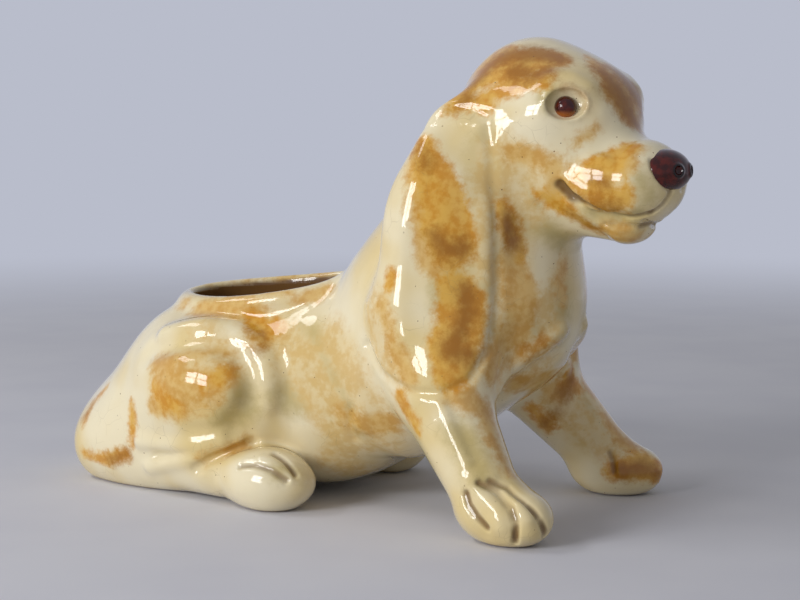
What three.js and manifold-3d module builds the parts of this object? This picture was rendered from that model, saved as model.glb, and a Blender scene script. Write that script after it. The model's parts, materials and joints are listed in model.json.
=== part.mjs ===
// Glazed earthenware planter in the form of a puppy: it lies on its haunches with its chest
// raised on two splayed forelegs, and an oval planting mouth opens in its back.
// Millimetres, +X towards the chest, +Y to the dog's left, +Z up, standing on z = 0.
// Every piece is a clay piece as a potter casts or presses it, laid on its neighbour
// with a thin film of slip between them.

import * as THREE from 'three';
import Module from 'manifold-3d';

const wasm = await Module();
wasm.setup();

// Casting and joining
const WALL = 5;
const FLOOR = 6;
const SLIP_FILM = 0.3;
const BLEND = {
  trunk: 12, rump: 27, belly: 12, chest: 12, neck: 14, thigh: 8, shoulder: 8, limb: 6, ear: 8, head: 8, face: 9, jaw: 5,
};

// Hollow body, a line of round masses melded like clay
const TRUNK = [
  { at: [-58.5, 0, 35], radius: 24, halfWidth: 13, halfHeight: 6 },
  { at: [-14, 0, 38], radius: 25, halfWidth: 7.5, halfHeight: 4 },
  { at: [14, 0, 44], radius: 29, halfWidth: 8, halfHeight: 0 },
];
const RUMP = { at: [-78, 0, 14], radii: [38.5, 35, 22] };
const BELLY = { at: [-26, 0, 17], radii: [38, 27, 15] };
const CHEST = { at: [35.5, 0, 66], radii: [37, 33.5, 32] };
const NECK = { low: [30, 0, 66], high: [46, 0, 99.5], lowRadius: 31.5, highRadius: 26 };
const THIGH = { at: [-46, -29, 34], radii: [27, 18, 25] };
const SHANK = { hock: [-96, -22, 11], ankle: [-44, -33, 11], hockRadius: 11, ankleRadius: 10 };

// Planting mouth in the back: an oval lip, tilted up towards the neck
const MOUTH = { centreX: -40, halfLength: 37, halfWidth: 25, height: 68, tilt: 4.5, lipRadius: 3.4 };

// Neck joint, where the cast head sits on the cast body
const NECK_JOINT_Z = 86;

// Head, in its own frame: forward, left and up from the middle of the skull
const HEAD = { at: [59.5, 0, 119.5], turn: -12 };
const SKULL = { at: [2, 0, 1], radii: [28, 26.5, 29] };
const BROW = { at: [13.5, 0, 3.5], radii: [18.5, 24, 18.5] };
const MUZZLE = { root: [18, 0, -11.5], tip: [38, 0, -13], rootRadius: 16, tipRadius: 12.7, breadth: 1.2 };
const JAW = { root: [12, 0, -17.5], tip: [33, 0, -25], rootRadius: 12, tipRadius: 7, breadth: 1.3 };
const NOSE = { at: [46.3, 0, -9.4], radii: [7, 8, 6.2], droop: 20 };
const EYE = { at: [21.9, -16.9, 8.3], radius: 3.6 };
const SOCKET = { at: [24, -19.4, 10], radii: [5.8, 3.6, 4.6], turn: 45 };
const LIP_LINE = [[17, -19.5, -14], [25, -15, -18.5], [33, -11.5, -20.5], [44, -5, -20.5], [48, 0, -20.5]];
const LIP_LINE_RADIUS = 0.9;

// Ears: long flaps hung from the side of the skull, down over neck and shoulder,
// in a frame of their own, turned so that the front edge lies close to the neck
const EAR = {
  at: [40, -29, 0], turn: 18,
  top: [5, 4, 122.5], middle: [1.3, 0.6, 96], lobe: [-1.3, -0.6, 66],
  topRadius: 8.5, middleRadius: 15.5, lobeRadius: 22, breadth: 0.5,
};

// Limbs: legs and paws pressed solid, and a short tail laid on the rump
const FORELEG = { shoulder: [33, -26, 50], wrist: [62, -41, 14], shoulderRadius: 15.2, wristRadius: 10.2 };
const SHOULDER = { at: [41, -30, 50], radii: [17, 13, 19] };
const FOREPAW = { at: [69, -41.5, 8], radii: [15.5, 11.5, 9.5], turn: -14 };
const HIND_PAW = { at: [-18, -37, 9], radii: [15.5, 11.5, 9.5], heel: [-36, -34, 10], heelRadius: 9 };
const TAIL = { root: [-104, 8, 21], bend: [-119, 23, 13], tip: [-91, 38, 8], rootRadius: 7.5, tipRadius: 5.5 };
const TOE_GROOVE = { radius: 1.1, spread: 0.34, from: 4, to: 14 };

// Fineness of the skins
const FACETS = { body: 38, cavity: 24, head: 32, ear: 20, limb: 18, small: 12, lip: 8 };
const BODY_RINGS = { rump: 7, trunk: 8, bend: 15 };
const BODY_CAVITY_RINGS = { rump: 5, trunk: 6, bend: 11 };
const HEAD_RINGS = { bend: 13, muzzle: 5, tip: 5 };
const HEAD_CAVITY_RINGS = { bend: 9, muzzle: 2, tip: 3 };
const EAR_RINGS = 9;
const EAR_END_RINGS = 5;
const LEG_RINGS = 9;
const PAW_RINGS = 3;
const TAIL_RINGS = 7;
const SMALL_END_RINGS = 4;
const NOSE_END_RINGS = 5;

// Spines that the skins are cast round
const BODY_SPINE = { rear: [-72, 0, 27], bendX: -20, neckInset: 8 };
const HEAD_SPINE = { throatInset: 2, neckArm: 42, tipInset: 4, tipLift: 3 };

const COLOURS = {
  cream: { color: 0xe9dcb8, roughness: 0.16, metalness: 0 },
  honey: { color: 0xd9b679, roughness: 0.16, metalness: 0 },
  nose: { color: 0x3a120c, roughness: 0.12, metalness: 0 },
  eye: { color: 0x4a1a0e, roughness: 0.08, metalness: 0 },
};

// Small vector helpers on plain arrays
const add = (a, b) => [a[0] + b[0], a[1] + b[1], a[2] + b[2]];
const sub = (a, b) => [a[0] - b[0], a[1] - b[1], a[2] - b[2]];
const scale = (a, s) => [a[0] * s, a[1] * s, a[2] * s];
const dot = (a, b) => a[0] * b[0] + a[1] * b[1] + a[2] * b[2];
const cross = (a, b) => [a[1] * b[2] - a[2] * b[1], a[2] * b[0] - a[0] * b[2], a[0] * b[1] - a[1] * b[0]];
const unit = (a) => scale(a, 1 / Math.hypot(...a));
const mix = (a, b, t) => add(a, scale(sub(b, a), t));
const vector = (p) => new THREE.Vector3(...p);
const mirrored = (p) => [p[0], -p[1], p[2]];
const radians = (degrees) => (degrees * Math.PI) / 180;
const X = [1, 0, 0];
const Y = [0, 1, 0];
const Z = [0, 0, 1];

// Clay masses: each gives a signed distance, below nothing inside the clay
function egg(p, at, radii) {
  const q = sub(p, at);
  const near = Math.hypot(q[0] / radii[0], q[1] / radii[1], q[2] / radii[2]);
  const slope = Math.hypot(q[0] / radii[0] ** 2, q[1] / radii[1] ** 2, q[2] / radii[2] ** 2);
  return slope > 0 ? (near * (near - 1)) / slope : -Math.min(...radii);
}

// A rod of changing radius, stretched or flattened across Y by its breadth
function taper(p, from, to, fromRadius, toRadius, breadth = 1) {
  const narrowed = (a) => [a[0], a[1] / breadth, a[2]];
  const axis = narrowed(sub(to, from));
  const q = narrowed(sub(p, from));
  const t = THREE.MathUtils.clamp(dot(q, axis) / dot(axis, axis), 0, 1);
  const gap = Math.hypot(...sub(q, scale(axis, t))) - (fromRadius + (toRadius - fromRadius) * t);
  return gap * Math.min(1, breadth);
}

function meld(a, b, width) {
  const overlap = Math.max(width - Math.abs(a - b), 0) / width;
  return Math.min(a, b) - (overlap * overlap * width) / 4;
}

// A point turned about the vertical through a centre, as a turned head or paw needs
function turnedInto(p, at, degrees) {
  const [x, y, z] = sub(p, at);
  const c = Math.cos(radians(degrees));
  const s = Math.sin(radians(degrees));
  return [x * c + y * s, y * c - x * s, z];
}

function turnedOut(q, at, degrees) {
  return add(turnedInto(q, [0, 0, 0], -degrees), at);
}

const headPoint = (q) => turnedOut(q, HEAD.at, HEAD.turn);
const headDirection = (q) => turnedOut(q, [0, 0, 0], HEAD.turn);

// Forms of the pieces. Right-hand pieces are written out and the left ones mirror them.
function trunkForm(p) {
  let form = Infinity;
  for (let i = 1; i < TRUNK.length; i += 1) {
    const [a, b] = [TRUNK[i - 1], TRUNK[i]];
    const t = THREE.MathUtils.clamp((p[0] - a.at[0]) / (b.at[0] - a.at[0]), 0, 1);
    const halfWidth = a.halfWidth + (b.halfWidth - a.halfWidth) * t;
    const halfHeight = a.halfHeight + (b.halfHeight - a.halfHeight) * t;
    const rise = p[2] - (a.at[2] + (b.at[2] - a.at[2]) * t);
    const lift = THREE.MathUtils.clamp(rise, -halfHeight, halfHeight);
    const inset = [p[0], Math.max(Math.abs(p[1]) - halfWidth, 0), p[2] - lift];
    form = meld(form, taper(inset, a.at, b.at, a.radius, b.radius), BLEND.trunk);
  }
  return form;
}

function haunchForm(p) {
  const thigh = egg(p, THIGH.at, THIGH.radii);
  return meld(thigh, taper(p, SHANK.hock, SHANK.ankle, SHANK.hockRadius, SHANK.ankleRadius), BLEND.thigh);
}

function headForm(p) {
  const q = turnedInto(p, HEAD.at, HEAD.turn);
  let form = egg(q, SKULL.at, SKULL.radii);
  form = meld(form, egg(q, BROW.at, BROW.radii), BLEND.head);
  form = meld(form, taper(q, MUZZLE.root, MUZZLE.tip, MUZZLE.rootRadius, MUZZLE.tipRadius, MUZZLE.breadth), BLEND.face);
  return meld(form, taper(q, JAW.root, JAW.tip, JAW.rootRadius, JAW.tipRadius, JAW.breadth), BLEND.jaw);
}

// Body, neck and head are one skin, parted later at the neck joint
function figureForm(p) {
  let form = meld(trunkForm(p), egg(p, RUMP.at, RUMP.radii), BLEND.rump);
  form = meld(form, egg(p, BELLY.at, BELLY.radii), BLEND.belly);
  form = meld(form, egg(p, CHEST.at, CHEST.radii), BLEND.chest);
  form = meld(form, taper(p, NECK.low, NECK.high, NECK.lowRadius, NECK.highRadius), BLEND.neck);
  form = meld(form, Math.min(haunchForm(p), haunchForm(mirrored(p))), BLEND.thigh);
  return meld(form, headForm(p), BLEND.head);
}

function forelegForm(p) {
  let leg = taper(p, FORELEG.shoulder, FORELEG.wrist, FORELEG.shoulderRadius, FORELEG.wristRadius);
  leg = meld(leg, egg(p, SHOULDER.at, SHOULDER.radii), BLEND.shoulder);
  const paw = egg(turnedInto(p, FOREPAW.at, FOREPAW.turn), [0, 0, 0], FOREPAW.radii);
  return meld(leg, paw, BLEND.limb);
}

function hindPawForm(p) {
  const paw = egg(p, HIND_PAW.at, HIND_PAW.radii);
  return meld(paw, taper(p, HIND_PAW.heel, HIND_PAW.at, HIND_PAW.heelRadius, HIND_PAW.heelRadius), BLEND.limb);
}

function earForm(p) {
  const q = turnedInto(p, EAR.at, EAR.turn);
  const upper = taper(q, EAR.top, EAR.middle, EAR.topRadius, EAR.middleRadius, EAR.breadth);
  return meld(upper, taper(q, EAR.middle, EAR.lobe, EAR.middleRadius, EAR.lobeRadius, EAR.breadth), BLEND.ear);
}

const tailPath = new THREE.QuadraticBezierCurve3(...[TAIL.root, TAIL.bend, TAIL.tip].map((p) => vector(p)));

function tailForm(p) {
  const steps = 5;
  let form = Infinity;
  for (let i = 0; i < steps; i += 1) {
    const [a, b] = [i / steps, (i + 1) / steps];
    const radius = (t) => TAIL.rootRadius + (TAIL.tipRadius - TAIL.rootRadius) * t;
    form = Math.min(form, taper(p, tailPath.getPoint(a).toArray(), tailPath.getPoint(b).toArray(), radius(a), radius(b)));
  }
  return form;
}

function noseForm(p) {
  const q = sub(turnedInto(p, HEAD.at, HEAD.turn), NOSE.at);
  const c = Math.cos(radians(NOSE.droop));
  const s = Math.sin(radians(NOSE.droop));
  return egg([q[0] * c - q[2] * s, q[1], q[2] * c + q[0] * s], [0, 0, 0], NOSE.radii);
}

// Skins: rings of rays walk out from a spine until the clay ends.
// A ring has an origin, two directions across the spine, one along it and a lean along it.
function walkOut(form, origin, direction) {
  const reach = 400;
  const nearEnough = 1e-4;
  const least = 0.002;
  let t = 0;
  let depth = -form(origin);
  while (depth > nearEnough && t < reach) {
    t += Math.max(depth * 0.6, least);
    depth = -form(add(origin, scale(direction, t)));
  }
  return add(origin, scale(direction, t));
}

function ringPoint(form, ring, turn) {
  const flat = add(scale(ring.side, Math.cos(turn)), scale(ring.up, Math.sin(turn)));
  const direction = add(scale(flat, Math.cos(ring.lean)), scale(ring.along, Math.sin(ring.lean)));
  return walkOut(form, ring.origin, direction);
}

function castSkin(form, rings, facets) {
  const vertices = [];
  const triangles = [];
  const starts = rings.map((ring) => {
    const start = vertices.length;
    const single = ring.flat || Math.abs(ring.lean) > radians(89.9);
    for (let i = 0; i < (single ? 1 : facets); i += 1) {
      vertices.push(ring.flat ? ring.origin : ringPoint(form, ring, (2 * Math.PI * i) / facets));
    }
    return { start, single };
  });
  for (let r = 1; r < rings.length; r += 1) {
    const [a, b] = [starts[r - 1], starts[r]];
    for (let i = 0; i < facets; i += 1) {
      const j = (i + 1) % facets;
      if (!a.single) {
        triangles.push([a.start + i, a.start + j, b.single ? b.start : b.start + i]);
      }
      if (!b.single) {
        triangles.push([a.single ? a.start : a.start + j, b.start + j, b.start + i]);
      }
    }
  }
  return solidFrom(vertices, triangles);
}

function solidFrom(vertices, triangles) {
  let volume = 0;
  for (const [a, b, c] of triangles) {
    volume += dot(vertices[a], cross(vertices[b], vertices[c]));
  }
  const outward = volume > 0 ? triangles : triangles.map(([a, b, c]) => [a, c, b]);
  return new wasm.Manifold(new wasm.Mesh({
    numProp: 3,
    vertProperties: Float32Array.from(vertices.flat()),
    triVerts: Uint32Array.from(outward.flat()),
  }));
}

// Rings that close a skin over the end of a spine, like lines of latitude
function endRings(ring, count, sign) {
  const rings = [];
  for (let i = 1; i <= count; i += 1) {
    rings.push({ ...ring, lean: (sign * Math.PI * i) / (2 * count) });
  }
  return sign < 0 ? rings.reverse() : rings;
}

// Rings along a straight spine, closed at both ends
function straightSpine(from, to, side, count, endCount) {
  const along = unit(sub(to, from));
  const up = unit(cross(along, side));
  const across = cross(up, along);
  const rings = [];
  for (let i = 0; i <= count; i += 1) {
    rings.push({ origin: mix(from, to, i / count), side: across, up, along, lean: 0 });
  }
  return [...endRings(rings[0], endCount, -1), ...rings, ...endRings(rings[count], endCount, 1)];
}

// Rings along a curved spine, closed at both ends
function curvedSpine(curve, side, count, endCount) {
  const rings = [];
  for (let i = 0; i <= count; i += 1) {
    const along = curve.getTangentAt(i / count).toArray();
    const up = unit(cross(along, side));
    rings.push({ origin: curve.getPointAt(i / count).toArray(), side: cross(up, along), up, along, lean: 0 });
  }
  return [...endRings(rings[0], endCount, -1), ...rings, ...endRings(rings[count], endCount, 1)];
}

// Rings that swing about a pivot line, as a spine does round a bend
function bentSpine(pivot, side, fromArm, toArm, fromOut, toOut, count) {
  const rings = [];
  for (let i = 1; i <= count; i += 1) {
    const t = i / count;
    const angle = (t * Math.PI) / 2;
    const out = add(scale(fromOut, Math.cos(angle)), scale(toOut, Math.sin(angle)));
    const along = cross(side, out);
    const origin = add(pivot, scale(out, fromArm + (toArm - fromArm) * t));
    rings.push({ origin, side, up: scale(out, -1), along, lean: 0 });
  }
  return rings;
}

// The body's spine: round the rump, along the trunk, then up to the neck joint
function bodyRings(counts) {
  const rear = { origin: BODY_SPINE.rear, side: Y, up: Z, along: X, lean: 0 };
  const pivot = [BODY_SPINE.bendX, 0, NECK_JOINT_Z];
  const arm = NECK_JOINT_Z - TRUNK[1].at[2];
  const neckArm = NECK.high[0] - pivot[0] - BODY_SPINE.neckInset;
  const rings = endRings(rear, counts.rump, -1);
  for (let i = 0; i <= counts.trunk; i += 1) {
    const origin = mix(rear.origin, sub(pivot, scale(Z, arm)), i / counts.trunk);
    rings.push({ ...rear, origin });
  }
  return [...rings, ...bentSpine(pivot, Y, arm, neckArm, scale(Z, -1), X, counts.bend)];
}

const flatEnd = (ring, lift) => ({ ...ring, origin: add(ring.origin, scale(Z, lift)), flat: true });

function bodySkin(grow) {
  const rings = bodyRings(BODY_RINGS);
  return castSkin((p) => figureForm(p) - grow, [...rings, flatEnd(rings.at(-1), 0)], FACETS.body);
}

// The planting space: the skin's inside, with a level floor and open at the neck
function bodyCavity() {
  const form = (p) => Math.max(figureForm(p) + WALL, FLOOR - p[2]);
  const rings = bodyRings(BODY_CAVITY_RINGS);
  const top = rings.at(-1);
  const above = { ...top, origin: add(top.origin, scale(Z, WALL)) };
  return castSkin(form, [...rings, above, flatEnd(above, 0)], FACETS.cavity);
}

// The head's spine: up the neck, over the throat and out along the muzzle
function headRings(counts, jointZ) {
  const jointUp = jointZ - HEAD.at[2];
  const pivot = headPoint([JAW.root[0] + HEAD_SPINE.throatInset, 0, jointUp]);
  const back = headDirection([-1, 0, 0]);
  const side = headDirection(Y);
  const { neckArm } = HEAD_SPINE;
  const muzzleArm = MUZZLE.root[2] - jointUp;
  const neck = { origin: add(pivot, scale(back, neckArm)), side, up: scale(back, -1), along: Z, lean: 0 };
  const rings = [neck, ...bentSpine(pivot, side, neckArm, muzzleArm, back, Z, counts.bend)];
  const last = rings.at(-1);
  const tipUp = (MUZZLE.tip[2] + JAW.tip[2]) / 2 + HEAD_SPINE.tipLift;
  const tip = headPoint([MUZZLE.tip[0] - HEAD_SPINE.tipInset, 0, tipUp]);
  for (let i = 1; i <= counts.muzzle; i += 1) {
    rings.push({ ...last, origin: mix(last.origin, tip, i / counts.muzzle) });
  }
  return [...rings, ...endRings(rings.at(-1), counts.tip, 1)];
}

function headSkin(grow, jointZ) {
  const rings = headRings(HEAD_RINGS, jointZ);
  return castSkin((p) => figureForm(p) - grow, [flatEnd(rings[0], 0), ...rings], FACETS.head);
}

function headCavity(jointZ) {
  const rings = headRings(HEAD_CAVITY_RINGS, jointZ);
  const below = { ...rings[0], origin: add(rings[0].origin, scale(Z, -WALL)) };
  return castSkin((p) => figureForm(p) + WALL, [flatEnd(below, 0), below, ...rings], FACETS.cavity);
}

// A bead swept round the oval mouth, tilted with it
function lipSolid() {
  const steps = FACETS.body;
  const vertices = [];
  const triangles = [];
  for (let i = 0; i < steps; i += 1) {
    const turn = (2 * Math.PI * i) / steps;
    const outward = unit([Math.cos(turn) * MOUTH.halfWidth, Math.sin(turn) * MOUTH.halfLength, 0]);
    const x = MOUTH.halfLength * Math.cos(turn);
    const centre = [MOUTH.centreX + x, MOUTH.halfWidth * Math.sin(turn), mouthHeight(x)];
    for (let j = 0; j < FACETS.lip; j += 1) {
      const around = (2 * Math.PI * j) / FACETS.lip;
      const offset = add(scale(outward, Math.cos(around)), scale(Z, Math.sin(around)));
      vertices.push(add(centre, scale(offset, MOUTH.lipRadius)));
      const [i2, j2] = [(i + 1) % steps, (j + 1) % FACETS.lip];
      const at = (a, b) => a * FACETS.lip + b;
      triangles.push([at(i, j), at(i2, j), at(i2, j2)], [at(i, j), at(i2, j2), at(i, j2)]);
    }
  }
  return solidFrom(vertices, triangles);
}

const mouthHeight = (x) => MOUTH.height - MOUTH.lipRadius + x * Math.tan(radians(MOUTH.tilt));

// A geometry from three.js as a solid for cutting and joining
function solidOf(geometry) {
  const position = geometry.getAttribute('position');
  const corners = new Map();
  const vertices = [];
  const order = [];
  const count = geometry.index ? geometry.index.count : position.count;
  for (let i = 0; i < count; i += 1) {
    const v = geometry.index ? geometry.index.getX(i) : i;
    const point = [position.getX(v), position.getY(v), position.getZ(v)];
    const key = point.map((n) => n.toFixed(4)).join(' ');
    if (!corners.has(key)) {
      corners.set(key, vertices.length);
      vertices.push(point);
    }
    order.push(corners.get(key));
  }
  const triangles = [];
  for (let i = 0; i < order.length; i += 3) {
    const triangle = order.slice(i, i + 3);
    if (new Set(triangle).size === 3) {
      triangles.push(triangle);
    }
  }
  return solidFrom(vertices, triangles);
}

function mouthCutter() {
  const oval = new THREE.Shape();
  oval.absellipse(0, 0, MOUTH.halfLength - MOUTH.lipRadius / 2, MOUTH.halfWidth - MOUTH.lipRadius / 2, 0, 2 * Math.PI);
  const depth = MOUTH.height;
  const prism = new THREE.ExtrudeGeometry(oval, { depth, bevelEnabled: false, curveSegments: FACETS.body });
  return solidOf(prism.translate(MOUTH.centreX, 0, MOUTH.height - WALL * 4));
}

// Everything below a level, for flat soles and the neck joint
function slabBelow(level) {
  const size = 400;
  return solidOf(new THREE.BoxGeometry(size, size, size).translate(0, 0, level - size / 2));
}

// A groove pressed along the skin: hand-placed points drop onto it, and a bead is cut away
function grooveCutter(form, points, radius) {
  const onSkin = points.map((p) => new THREE.Vector3(...dropOnto(form, p)));
  const path = new THREE.CatmullRomCurve3(onSkin);
  const round = new THREE.Shape().absarc(0, 0, radius, 0, 2 * Math.PI);
  const steps = 3 * points.length;
  const options = { extrudePath: path, steps, bevelEnabled: false, curveSegments: FACETS.lip / 2 };
  return solidOf(new THREE.ExtrudeGeometry(round, options));
}

function dropOnto(form, point) {
  const probe = 0.2;
  let p = point;
  for (let i = 0; i < 12; i += 1) {
    const slope = [X, Y, Z].map((d) => form(add(p, scale(d, probe))) - form(sub(p, scale(d, probe))));
    p = sub(p, scale(unit(slope), form(p)));
  }
  return p;
}

// Toe grooves fan out over the front of a paw
function toeCutters(form, paw, turn) {
  return [-1, 0, 1].map((n) => {
    const angle = radians(turn) + n * TOE_GROOVE.spread;
    const aim = [Math.cos(angle), Math.sin(angle), 0];
    const across = [-Math.sin(radians(turn)) * n, Math.cos(radians(turn)) * n, 0];
    const start = add(add(paw.at, scale(aim, TOE_GROOVE.from)), scale(across, paw.radii[1] / 4));
    const high = add(start, scale(Z, paw.radii[2]));
    const middle = add(add(start, scale(aim, paw.radii[0] / 2)), scale(Z, paw.radii[2] / 2));
    const low = add(paw.at, scale(aim, TOE_GROOVE.to));
    return grooveCutter(form, [high, middle, low], TOE_GROOVE.radius);
  });
}

// The pieces
const ground = slabBelow(0);

function makeBody() {
  let body = bodySkin(0).add(lipSolid()).subtract(bodyCavity()).subtract(mouthCutter());
  return body.subtract(ground);
}

function eyeSkin(side, grow) {
  const centre = headPoint([EYE.at[0], EYE.at[1] * side, EYE.at[2]]);
  const along = headDirection(X);
  const rings = straightSpine(sub(centre, along), add(centre, along), Z, 1, SMALL_END_RINGS);
  return castSkin((p) => Math.hypot(...sub(p, centre)) - EYE.radius - grow, rings, FACETS.small);
}

// The shallow dish that an eye sits in
function socketSkin(side) {
  const centre = headPoint([SOCKET.at[0], SOCKET.at[1] * side, SOCKET.at[2]]);
  const turn = HEAD.turn + SOCKET.turn * side;
  const form = (p) => egg(turnedInto(p, centre, turn), [0, 0, 0], SOCKET.radii);
  const along = turnedOut(X, [0, 0, 0], turn);
  return castSkin(form, straightSpine(sub(centre, along), add(centre, along), Z, 1, SMALL_END_RINGS), FACETS.small);
}

const jointZ = NECK_JOINT_Z + SLIP_FILM;

function makeHead() {
  let head = headSkin(0, jointZ).subtract(headCavity(jointZ)).subtract(slabBelow(jointZ));
  for (const side of [1, -1]) {
    head = head.subtract(socketSkin(side)).subtract(eyeSkin(side, SLIP_FILM));
  }
  const left = LIP_LINE.map(([f, l, u]) => headPoint([f, l, u]));
  const right = LIP_LINE.map(([f, l, u]) => headPoint([f, -l, u])).reverse().slice(1);
  return head.subtract(grooveCutter(figureForm, [...left, ...right], LIP_LINE_RADIUS));
}

const neighbours = {
  body: bodySkin(SLIP_FILM),
  head: headSkin(SLIP_FILM, NECK_JOINT_Z),
};

const forelegPath = new THREE.QuadraticBezierCurve3(
  vector(FORELEG.shoulder), vector(FORELEG.wrist), vector(add(FOREPAW.at, [FOREPAW.radii[0] / 3, 0, 0])));

function forelegSkin(grow) {
  return castSkin((p) => forelegForm(p) - grow, curvedSpine(forelegPath, Y, LEG_RINGS, SMALL_END_RINGS), FACETS.limb);
}

const withToes = (paw, cutters) => cutters.reduce((piece, cutter) => piece.subtract(cutter), paw);

function makeForeleg(side) {
  const leg = withToes(forelegSkin(0).subtract(ground), toeCutters(forelegForm, FOREPAW, FOREPAW.turn));
  return onSide(leg, side).subtract(neighbours.body);
}

function makeHindPaw(side) {
  const rings = straightSpine(HIND_PAW.heel, HIND_PAW.at, Y, PAW_RINGS, SMALL_END_RINGS);
  const paw = castSkin(hindPawForm, rings, FACETS.limb).subtract(ground);
  return onSide(withToes(paw, toeCutters(hindPawForm, HIND_PAW, 0)), side).subtract(neighbours.body);
}

function makeEar(side) {
  const inPlace = (p) => turnedOut(p, EAR.at, EAR.turn);
  const across = turnedOut(Y, [0, 0, 0], EAR.turn);
  const rings = straightSpine(inPlace(EAR.top), inPlace(EAR.lobe), across, EAR_RINGS, EAR_END_RINGS);
  const ear = castSkin(earForm, rings, FACETS.ear).subtract(forelegSkin(SLIP_FILM));
  return onSide(ear, side).subtract(neighbours.body).subtract(neighbours.head);
}

function makeTail() {
  const tail = castSkin(tailForm, curvedSpine(tailPath, Z, TAIL_RINGS, SMALL_END_RINGS), FACETS.small);
  return tail.subtract(neighbours.body).subtract(ground);
}

function makeNose() {
  const back = headPoint([NOSE.at[0] - 1, 0, NOSE.at[2]]);
  const front = headPoint([NOSE.at[0] + 1, 0, NOSE.at[2]]);
  return castSkin(noseForm, straightSpine(back, front, Z, 1, NOSE_END_RINGS), FACETS.limb).subtract(neighbours.head);
}

// A left-hand copy of a right-hand piece
function mirrorSolid(solid) {
  const mesh = solid.getMesh();
  const vertices = [];
  for (let i = 0; i < mesh.vertProperties.length; i += mesh.numProp) {
    vertices.push(mirrored(Array.from(mesh.vertProperties.slice(i, i + 3))));
  }
  const triangles = [];
  for (let i = 0; i < mesh.triVerts.length; i += 3) {
    triangles.push([mesh.triVerts[i], mesh.triVerts[i + 2], mesh.triVerts[i + 1]]);
  }
  return solidFrom(vertices, triangles);
}

const onSide = (solid, side) => (side > 0 ? solid : mirrorSolid(solid));

function meshOf(solid, name, finish) {
  const { vertProperties, triVerts } = solid.getMesh();
  const geometry = new THREE.BufferGeometry();
  geometry.setAttribute('position', new THREE.BufferAttribute(vertProperties, 3));
  geometry.setIndex(new THREE.BufferAttribute(triVerts, 1));
  geometry.computeVertexNormals();
  const mesh = new THREE.Mesh(geometry, new THREE.MeshStandardMaterial(finish));
  mesh.name = name;
  return mesh;
}

const puppy = new THREE.Group();
puppy.name = 'puppy_planter';
puppy.add(
  meshOf(makeBody(), 'body_pot', COLOURS.cream),
  meshOf(makeHead(), 'head', COLOURS.cream),
  meshOf(makeEar(1), 'right_ear', COLOURS.honey),
  meshOf(makeEar(-1), 'left_ear', COLOURS.honey),
  meshOf(makeForeleg(1), 'right_foreleg', COLOURS.cream),
  meshOf(makeForeleg(-1), 'left_foreleg', COLOURS.cream),
  meshOf(makeHindPaw(1), 'right_hind_paw', COLOURS.cream),
  meshOf(makeHindPaw(-1), 'left_hind_paw', COLOURS.cream),
  meshOf(makeTail(), 'tail', COLOURS.honey),
  meshOf(makeNose(), 'nose', COLOURS.nose),
  meshOf(eyeSkin(1, 0), 'right_eye', COLOURS.eye),
  meshOf(eyeSkin(-1, 0), 'left_eye', COLOURS.eye),
);

// The origin goes to the middle of the footprint, on the ground
const box = new THREE.Box3().setFromObject(puppy);
puppy.position.set(-(box.min.x + box.max.x) / 2, -(box.min.y + box.max.y) / 2, -box.min.z);
puppy.updateMatrixWorld(true);

export default puppy;
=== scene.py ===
"""Looks of a glazed earthenware planter in the form of a puppy.

The puppy is cast and pressed in clay, so every piece here is a clay form: round masses melded
into each other, tooled with grooves and rolls, dipped in a cream glaze and painted with honey
and amber washes. Sizes are millimetres in the maker's own frame: +X towards the chest, +Y to
the puppy's left, +Z up, standing on z = 0. Meshes are written in metres in the frame's place.
"""

from __future__ import annotations

import json
import logging
import math
from concurrent.futures import ThreadPoolExecutor
from dataclasses import dataclass, field
from enum import Enum
from functools import partial
from typing import Callable, Sequence

import bpy
import numpy as np
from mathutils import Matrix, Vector

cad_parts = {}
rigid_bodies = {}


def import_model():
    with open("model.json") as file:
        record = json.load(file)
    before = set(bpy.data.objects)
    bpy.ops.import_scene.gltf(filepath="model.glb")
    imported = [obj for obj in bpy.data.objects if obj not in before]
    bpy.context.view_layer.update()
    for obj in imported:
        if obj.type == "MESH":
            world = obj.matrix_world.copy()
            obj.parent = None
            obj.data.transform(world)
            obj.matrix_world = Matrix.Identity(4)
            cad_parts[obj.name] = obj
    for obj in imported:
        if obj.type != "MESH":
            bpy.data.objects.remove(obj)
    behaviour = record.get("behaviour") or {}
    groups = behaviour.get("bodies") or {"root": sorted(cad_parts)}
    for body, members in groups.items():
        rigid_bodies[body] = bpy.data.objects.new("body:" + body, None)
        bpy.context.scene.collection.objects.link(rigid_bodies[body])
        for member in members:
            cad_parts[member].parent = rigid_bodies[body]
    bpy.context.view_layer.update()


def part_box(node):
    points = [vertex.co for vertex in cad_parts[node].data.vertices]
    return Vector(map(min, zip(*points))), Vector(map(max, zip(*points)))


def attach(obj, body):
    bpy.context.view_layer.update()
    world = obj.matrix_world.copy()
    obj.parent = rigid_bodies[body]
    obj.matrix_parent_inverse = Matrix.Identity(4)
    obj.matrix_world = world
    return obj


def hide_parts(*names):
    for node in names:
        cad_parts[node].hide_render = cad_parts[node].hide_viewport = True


LOG = logging.getLogger("puppy_planter")

Vec = tuple[float, float, float]
Pixel = tuple[float, float]
Points = np.ndarray
Form = Callable[[Points], np.ndarray]

MM = 0.001
TINY = 1e-9


# Clay masses: each gives a distance in millimetres, which is negative inside the clay


def column(v: Sequence[float]) -> np.ndarray:
    """A vector as a column that adds to an array of points."""
    return np.array(v, np.float32).reshape(3, 1)


def meld(a: np.ndarray, b: np.ndarray, width: float) -> np.ndarray:
    """Two masses smoothed into each other.

    Args:
        a: Distances to the first mass.
        b: Distances to the second mass.
        width: How far the fillet reaches, in millimetres.

    Returns:
        Distances to the melded mass.
    """
    overlap = np.maximum(width - np.abs(a - b), 0) / width
    return np.minimum(a, b) - overlap * overlap * (width / 4)


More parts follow.
